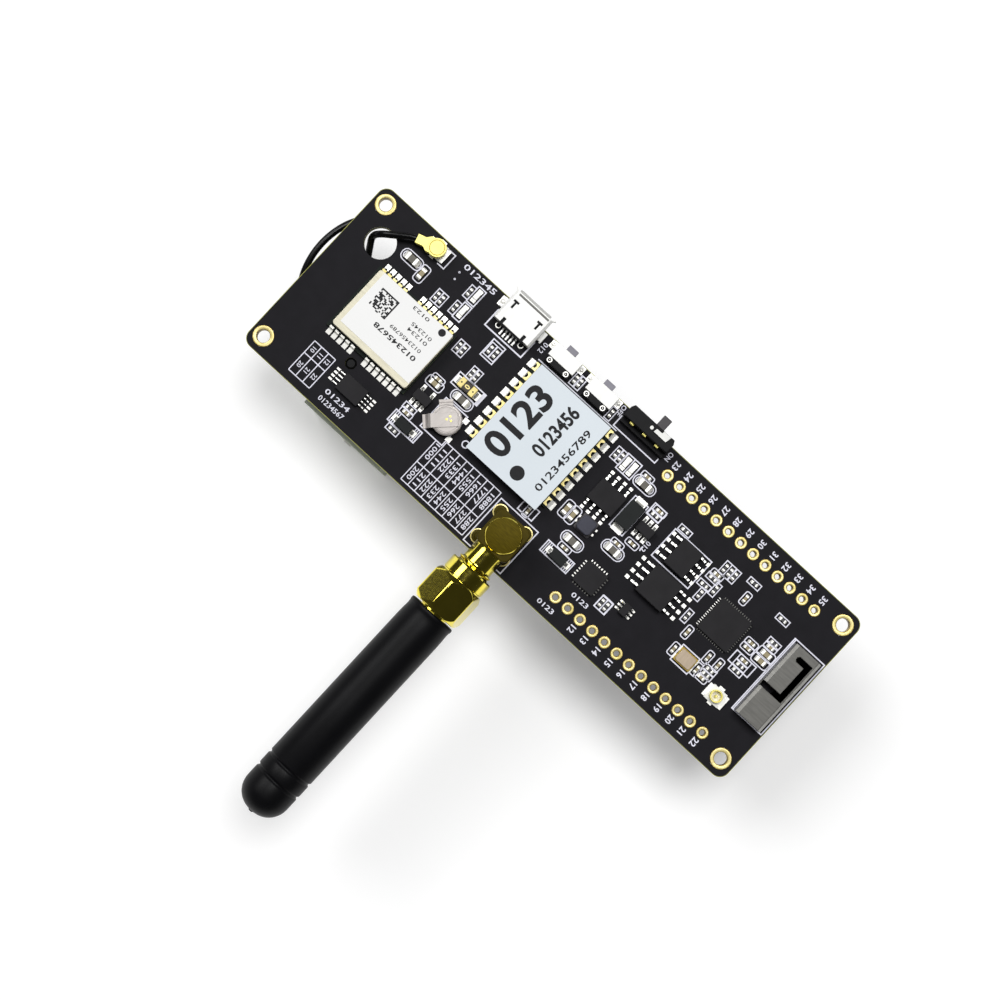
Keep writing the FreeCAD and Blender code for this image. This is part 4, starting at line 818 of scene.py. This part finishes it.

# Snap-on coaxial jacks: ring, pin and soldered tabs, and a darker ring on the cable's plug, a
# painted shadow where plug and jack meet
bm = bmesh.new()
for x, y in (SPARE_JACK, CABLE_JACK):
    turned(bm, [(0.8, 0.35), (1.0, 0.35), (1.0, 0.7), (0.93, 0.8), (0.93, 1.0), (1.0, 1.12),
                (1.0, 1.42), (0.95, 1.5), (0.84, 1.5), (0.8, 1.42)], 32, (x, y), closed=True)
    turned(bm, [(0.2, 0.35), (0.2, 1.15), (0.12, 1.25), (0, 1.25)], 16, (x, y))
    for side in (-1, 1):
        near, far = sorted((x + side * 1.35, x + side * 1.9))
        box(bm, near, far, y - 1.2, y + 1.1, 0, 0.22, 1)
        near, far = sorted((x + side * 1.2, x + side * 1.4))
        box(bm, near, far, y - 1.0, y + 0.95, 0.2, 0.42, 1)
    box(bm, x - 0.5, x + 0.5, y + 1.3, y + 1.7, 0, 0.2, 1)
    box(bm, x - 0.4, x + 0.4, y - 1.65, y - 1.3, 0, 0.18, 1)
piece("coax_rings", bm, [COAX, SOLDER], replaces=["coax_jack_rings"], smooth=35)
bm = bmesh.new()
# A thin ring of darker gold on the plug's top, a painted shadow
turned(bm, [(1.24, 2.12), (1.24, 2.16), (1.18, 2.17), (1.1, 2.16), (1.1, 2.12)], 36,
       CABLE_JACK, closed=True)
piece("plug_painted_shadow_ring", bm, [GOLD_RIM_AND_SHADE], smooth=40)

# The holder's peg in the small hole, and the board's bare rim where the mask stops
bm = bmesh.new()
turned(bm, [(0, BOARD_LOW), (0.84, BOARD_LOW), (0.84, -0.35), (0.6, -0.15), (0, -0.15)], 24,
       (-34.95, -7.8))
piece("holder_peg", bm, [RUBBER_AND_SHADE], smooth=40)
bm = bmesh.new()
ribbon(bm, rounded(-49.86, 50.06, -16.41, 16.21, 1.66, 6), 0.08, high=0.008)
piece("board_rim", bm, [LAMINATE])

# The socket's front fold as a dark steel strip of painted shadow, dark sheets of painted shade
# under its windows, and a white L-shaped patch and dot on the switch's top
bm = bmesh.new()
fold_shadow = [(17.22, SOCKET_TOP), (17.56, SOCKET_TOP), (17.5, SOCKET_TOP + 0.03),
       (17.3, SOCKET_TOP + 0.03)]
prism(bm, fold_shadow, -22.9, -16.85, 0, FROM_YZ)
piece("socket_fold_painted_shadow", bm, [STEEL_AND_SHADE])
bm = bmesh.new()
# Dark sheets in the cavity under the windows, painted shade
for side in (-1, 1):
    x = SOCKET_X + side * 2.425
    box(bm, x - 0.6, x + 0.6, 14.95, 16.45, 2.25, 2.34)
piece("socket_window_shades", bm, [RUBBER_AND_SHADE])
bm = bmesh.new()
# A white L-shaped patch and a dot on the switch's top
prism(bm, [(6.35, 15.7), (8.8, 15.7), (9.0, 16.8), (7.6, 16.8), (7.5, 16.4), (6.45, 16.4)],
      3.3, 3.5)
prism(bm, circle(5.75, 15.95, 0.3, 14), 3.6, 3.66)
piece("switch_top_white_patch", bm, [WHITE], bevel=0.05)

# Silk print on the board, with the tops of lines that cross at different levels
LINE = 0.16
CROSSING = 0.022
bm = bmesh.new()
tops = itertools.cycle((0.022, 0.024, 0.026, 0.02))


def frame_line(x0, x1, y0, y1, radius=0.0, width=0.17):
    points = [(x0, y0), (x1, y0), (x1, y1), (x0, y1)]
    if radius:
        points = rounded(x0, x1, y0, y1, radius)
    ribbon(bm, points, width, high=next(tops))


def stroke(x0, y0, x1, y1, width=LINE, high=0.025):
    ribbon(bm, [(x0, y0), (x1, y1)], width, closed=False, high=high)


for x, y, way in RESISTORS:
    a, b = (1.12, 0.5) if way == "x" else (0.5, 1.12)
    frame_line(x - a, x + a, y - b, y + b)
for x, y, way, size in CAPACITORS:
    a, b, radius = {SMALL: (1.12, 0.56, 0.3), MEDIUM: (1.5, 0.78, 0.45),
                    LARGE: (2.0, 0.97, 0.85)}[size]
    if way == "y":
        a, b = b, a
    frame_line(x - a, x + a, y - b, y + b, radius)
for corners in (
        (-21.35, -18.95, 6.75, 9.95), (18.95, 26.5, 1.85, 7.35), (-25, -19.6, -10.3, -8.2),
        (5.8, 11.2, -9.15, -7.1), (-21.7, -16.3, 0.5, 2.7), (31.8, 35.2, -7.9, -4.85),
        (-28.5, -27.05, 11.4, 14.35), (-28.5, -27.05, 8.15, 11.1), (5.8, 7.25, 8.05, 11.0),
        (7.25, 8.65, 8.05, 11.0), (-20.6, -16.1, -7.6, -1.7), (-3.85, 3.85, -15.95, -7.35),
        (43.75, 49.8, -7.0, 7.4), (17.7, 19.8, -9.8, -7.7), (38.4, 42.35, -2.0, 0.1),
        (-1.0, 1.9, -6.8, -4.9), (14.0, 16.4, 6.1, 8.2)):
    frame_line(*corners, width=0.2)
for points in (
        [(-14.2, 12.25), (2.1, 12.25)], [(1.15, 14.6), (1.15, 12.6), (9.75, 12.6), (9.75, 13.5)],
        [(-35.75, 15.35), (-34.42, 15.35), (-34.42, 12.6), (-35.75, 12.6)],
        [(44.0, -6.9), (44.0, 7.3)], [(17.15, 1.95), (17.15, 1.1)]):
    ribbon(bm, points, 0.2, closed=False)
ribbon(bm, [(-23.9, 13.8), (-23.9, 10.6), (-16.4, 10.6), (-16.4, 13.8)], 0.24, closed=False)
stroke(-16.6, 2.6, -16.6, 0.6, 0.45)
for x in (-24.65, -24.3, -23.95, -20.65, -20.3, -19.95):
    stroke(x, -8.25, x, -10.25, high=CROSSING)
for x in (6.15, 6.5, 6.85, 10.2, 10.55, 10.9):
    stroke(x, -7.15, x, -9.1, high=CROSSING)
for x, y, way, size in CAPACITORS:
    if size is LARGE:
        ribbon(bm, arc(x + 0.98, y, 0.66, -62, 62, 8), 0.15, closed=False, high=0.045)
        ribbon(bm, arc(x - 0.98, y, 0.66, 118, 242, 8), 0.15, closed=False, high=0.045)
for x, y in ((-32.25, 13.88), (-32.09, 12.62)):
    ribbon(bm, circle(x, y, 0.12, 10), 0.1)
frame_line(11.0, 13.65, 0.95, 6.95, width=0.2)
ribbon(bm, circle(-13.5, -5.0, 0.55, 20), 0.2)
columns = (-41.4, -39.95, -38.5, -37.05)
for x in columns:
    stroke(x, -14.95, x, -9.0)
for y in (-9.0, -11.4, -14.95):
    stroke(columns[0], y, columns[-1], y, high=CROSSING)
columns = (-17.25, -15.85, -14.45, -13.05, -11.6, -10.15, -8.7, -7.3, -5.9, -4.45)
for x in columns:
    stroke(x, -15.6, x, -7.7 if x == columns[0] else -6.7)
for y, first in ((-6.75, 1), (-11.95, 0), (-15.6, 0)):
    stroke(columns[first], y, columns[-1], y, high=CROSSING)
for i, (x, y) in enumerate(HEADER):
    low_row = y < 0
    if low_row and i < 2:
        continue
    words(bm, str(i + 10), x, y - 1.9 if low_row else y + 2.0, 1.05, turn=-90, weight=0.02)
for i in range(3):
    x = -40.65 + 1.45 * i
    words(bm, str(i + 10), x, -10.2, 0.75, turn=-90)
    words(bm, str(i + 20), x, -13.2, 0.75, turn=-90)
for i in range(9):
    x = -16.5 + 1.42 * i
    words(bm, str(1000 + i * 111)[:4], x, -9.3, 0.8, turn=-90, width=2.9)
    words(bm, str(200 + i * 11)[:3], x, -13.75, 0.8, turn=-90, width=2.3)
for text, x, y, height, turn, width in (
        ("01234", -32.6, -13.4, 0.85, 0, 4.8), ("01234567", -32.6, -14.85, 0.85, 0, 5.0),
        ("012345", -29.15, 15.25, 0.95, 0, 6.4), ("012", -14.85, 14.0, 0.9, -90, 1.8),
        ("0123", 15.6, -10.7, 0.8, 0, 3.2), ("0123", 12.3, -14.9, 0.8, 0, 3.2),
        ("012", 17.4, 2.2, 0.85, -90, 1.8), ("OFF", 0.55, 15.1, 0.8, -90, 1.9),
        ("ON", 10.75, 14.8, 0.85, -90, 1.5)):
    words(bm, text, x, y, height, turn=turn, width=width)
piece("silk_print", bm, [SILK])

# Bare tinned pads around the chips; the rows on some sides of the two square chips are dark grey,
# painted shade
PAD_TOP = 0.04
# Pad materials: plain solder, and dark grey that paints shade
BRIGHT, PAINTED_SHADE_PADS = 0, 1
bm = bmesh.new()


def pad(x, y, a, b, mat=0):
    box(bm, x - a / 2, x + a / 2, y - b / 2, y + b / 2, 0, PAD_TOP, mat)


def pad_row(center, way, offset, pitch, count, long, wide, sides=(-1, 1), skip=(), mat=0):
    for side in sides:
        for i in range(count):
            if (side, i) in skip:
                continue
            step = (i - (count - 1) / 2) * pitch
            if way == "x":
                pad(center[0] + side * offset, center[1] + step, long, wide, mat)
            else:
                pad(center[0] + step, center[1] + side * offset, wide, long, mat)


pad_row((22.85, 4.75), "x", 3.52, 1.27, 4, 0.5, 0.6)
pad_row((23.15, -1.15), "x", 4.72, 1.27, 4, 0.65, 0.62)
pad_row((7.95, 3.65), "y", 3.5, 1.27, 4, 0.5, 0.6)
pad_row((-32.0, -10.67), "x", 3.72, 0.65, 4, 0.65, 0.36)
pad_row((-23.2, -4.25), "y", 1.35, 0.95, 3, 1.0, 0.6, skip=((1, 1),))
pad_row((15.6, 4.0), "y", 1.35, 0.95, 3, 1.0, 0.6)
pad_row((21.6, -7.05), "x", 1.1, 0.65, 3, 0.7, 0.34)
for way, side, mat in (("x", -1, BRIGHT), ("x", 1, PAINTED_SHADE_PADS), ("y", -1, PAINTED_SHADE_PADS), ("y", 1, PAINTED_SHADE_PADS)):
    pad_row(PROCESSOR, way, 3.12, 0.4, 14, 0.42, 0.15, sides=(side,), mat=mat)
for way, side, mat in (("x", -1, BRIGHT), ("x", 1, PAINTED_SHADE_PADS), ("y", 1, BRIGHT), ("y", -1, PAINTED_SHADE_PADS)):
    pad_row(USB_BRIDGE, way, 2.13, 0.5, 7, 0.44, 0.2, sides=(side,), mat=mat)
pad_row((-22.4, -9.3), "x", 1.85, 1, 1, 0.9, 1.0)
pad_row((8.7, -8.15), "x", 1.85, 1, 1, 0.9, 1.0)
pad_row((12.35, 4.0), "y", 2.75, 1, 1, 1.1, 1.9)
pad_row((-19.2, TANTALUM_Y), "x", 1.95, 1, 1, 0.95, 1.3)
pad_row((8.55, -1.6), "x", 1.7, 0.9, 2, 0.3, 0.4)
pad_row((33.55, -6.35), "x", 1.4, 1.5, 2, 0.9, 0.9)
for x in BUTTONS:
    pad_row((x, 15.5), "x", 2.95, 1, 1, 0.9, 1.3)
pad(-24.3, 15.1, 1.0, 1.7)
pad(-15.8, 14.9, 0.24, 1.5)
for x, y in ((-15.9, -2.35), (-20.2, -6.2), (-15.95, -6.2)):
    pad(x, y, 0.9, 0.9)
piece("bare_pads", bm, [SOLDER, STEEL_AND_SHADE], bevel=0.02)

# Solder on the socket's legs and contacts and on the buttons' posts and tabs
POST_TOP = 1.6
bm = bmesh.new()
blob(bm, -24.2, 15.1, PAD_TOP, 0.5, 0.4)
for x in (-22.3, -17.65):
    ribbon(bm, arc(x, 11.95, 0.42, 150, 390, 12), 0.15, closed=False, high=0.12)
for x in (-12.8, -9.46, -5.12, -1.8):
    ribbon(bm, circle(x, 13.22, 0.36, 18), 0.15, low=POST_TOP, high=POST_TOP + 0.06)
    blob(bm, x, 13.22, POST_TOP, 0.13, 0.08)
for i in range(5):
    x = SOCKET_X + (i - 2) * 0.65
    box(bm, x - 0.16, x + 0.16, 11.0, 11.75, 0.0, 0.06)
    blob(bm, x, 11.25, 0.06, 0.15, 0.1, sides=10)
for x in BUTTONS:
    for side in (-1, 1):
        blob(bm, x + side * 2.95, 15.5, PAD_TOP, 0.36, 0.34)
piece("leg_solder", bm, [SOLDER], smooth=50)


def larger(tree, one, other):
    """The larger of two node outputs."""
    node = tree.nodes.new("ShaderNodeMath")
    node.operation = "MAXIMUM"
    tree.links.new(one, node.inputs[0])
    tree.links.new(other, node.inputs[1])
    return node.outputs["Value"]


# Floor, whose lift shows to the camera and in reflections but lights nothing
REACH = 0.32
FLOOR_LIFT = 0.19
corners = [(-REACH, -REACH), (REACH, -REACH), (REACH, REACH), (-REACH, REACH)]
floor_mesh = bpy.data.meshes.new("floor")
floor_mesh.from_pydata([(x, y, GROUND * MM) for x, y in corners], [], [(0, 1, 2, 3)])
floor = bpy.data.objects.new("floor", floor_mesh)
bpy.context.scene.collection.objects.link(floor)
paper = bpy.data.materials.new("floor_paper")
paper.use_nodes = True
nodes, links = paper.node_tree.nodes, paper.node_tree.links
shader = nodes["Principled BSDF"]
shader.inputs["Base Color"].default_value = (0.88, 0.88, 0.88, 1)
shader.inputs["Roughness"].default_value = 0.9
shader.inputs["Specular IOR Level"].default_value = 0.0
rays = nodes.new("ShaderNodeLightPath")
seen = larger(paper.node_tree, rays.outputs["Is Camera Ray"], rays.outputs["Is Glossy Ray"])
seen = larger(paper.node_tree, seen, rays.outputs["Is Transmission Ray"])
lift = nodes.new("ShaderNodeMath")
lift.operation = "MULTIPLY"
lift.inputs[1].default_value = FLOOR_LIFT
links.new(seen, lift.inputs[0])
shader.inputs["Emission Color"].default_value = (1, 1, 1, 1)
links.new(lift.outputs["Value"], shader.inputs["Emission Strength"])
floor_mesh.materials.append(paper)

# World: white to the camera, even grey as light, dark with a bright lower edge in reflections
world = bpy.data.worlds.new("studio")
bpy.context.scene.world = world
world.use_nodes = True
nodes, links = world.node_tree.nodes, world.node_tree.links
background = nodes["Background"]
rays = nodes.new("ShaderNodeLightPath")
mirrored = larger(world.node_tree, rays.outputs["Is Glossy Ray"],
                  rays.outputs["Is Transmission Ray"])
coord = nodes.new("ShaderNodeTexCoord")
split = nodes.new("ShaderNodeSeparateXYZ")
links.new(coord.outputs["Generated"], split.inputs["Vector"])
sky = nodes.new("ShaderNodeValToRGB")
below, above = sky.color_ramp.elements
below.position, below.color = 0.0, (1, 1, 1, 1)
above.position, above.color = 0.6, (0.03, 0.03, 0.03, 1)
wall = sky.color_ramp.elements.new(0.02)
wall.color = (0.05, 0.05, 0.05, 1)
links.new(split.outputs["Z"], sky.inputs["Fac"])
plain = nodes.new("ShaderNodeMix")
plain.data_type = "RGBA"
plain.inputs["A"].default_value = (0.2, 0.2, 0.2, 1)
links.new(mirrored, plain.inputs["Factor"])
links.new(sky.outputs["Color"], plain.inputs["B"])
shown = nodes.new("ShaderNodeMix")
shown.data_type = "RGBA"
shown.inputs["B"].default_value = (1, 1, 1, 1)
links.new(rays.outputs["Is Camera Ray"], shown.inputs["Factor"])
links.new(plain.outputs["Result"], shown.inputs["A"])
links.new(shown.outputs["Result"], background.inputs["Color"])
background.inputs["Strength"].default_value = 1

# Lamps
for name, energy, angle, way in (("key", 1.3, 30, (-0.64, 0.12, 0.77)),
                                 ("top", 1.65, 24, (-0.03, 0.3, 1.0))):
    lamp = bpy.data.objects.new(name, bpy.data.lights.new(name, "SUN"))
    lamp.data.energy = energy
    lamp.data.angle = math.radians(angle)
    lamp.rotation_euler = Vector(way).to_track_quat("Z", "Y").to_euler()
    bpy.context.scene.collection.objects.link(lamp)
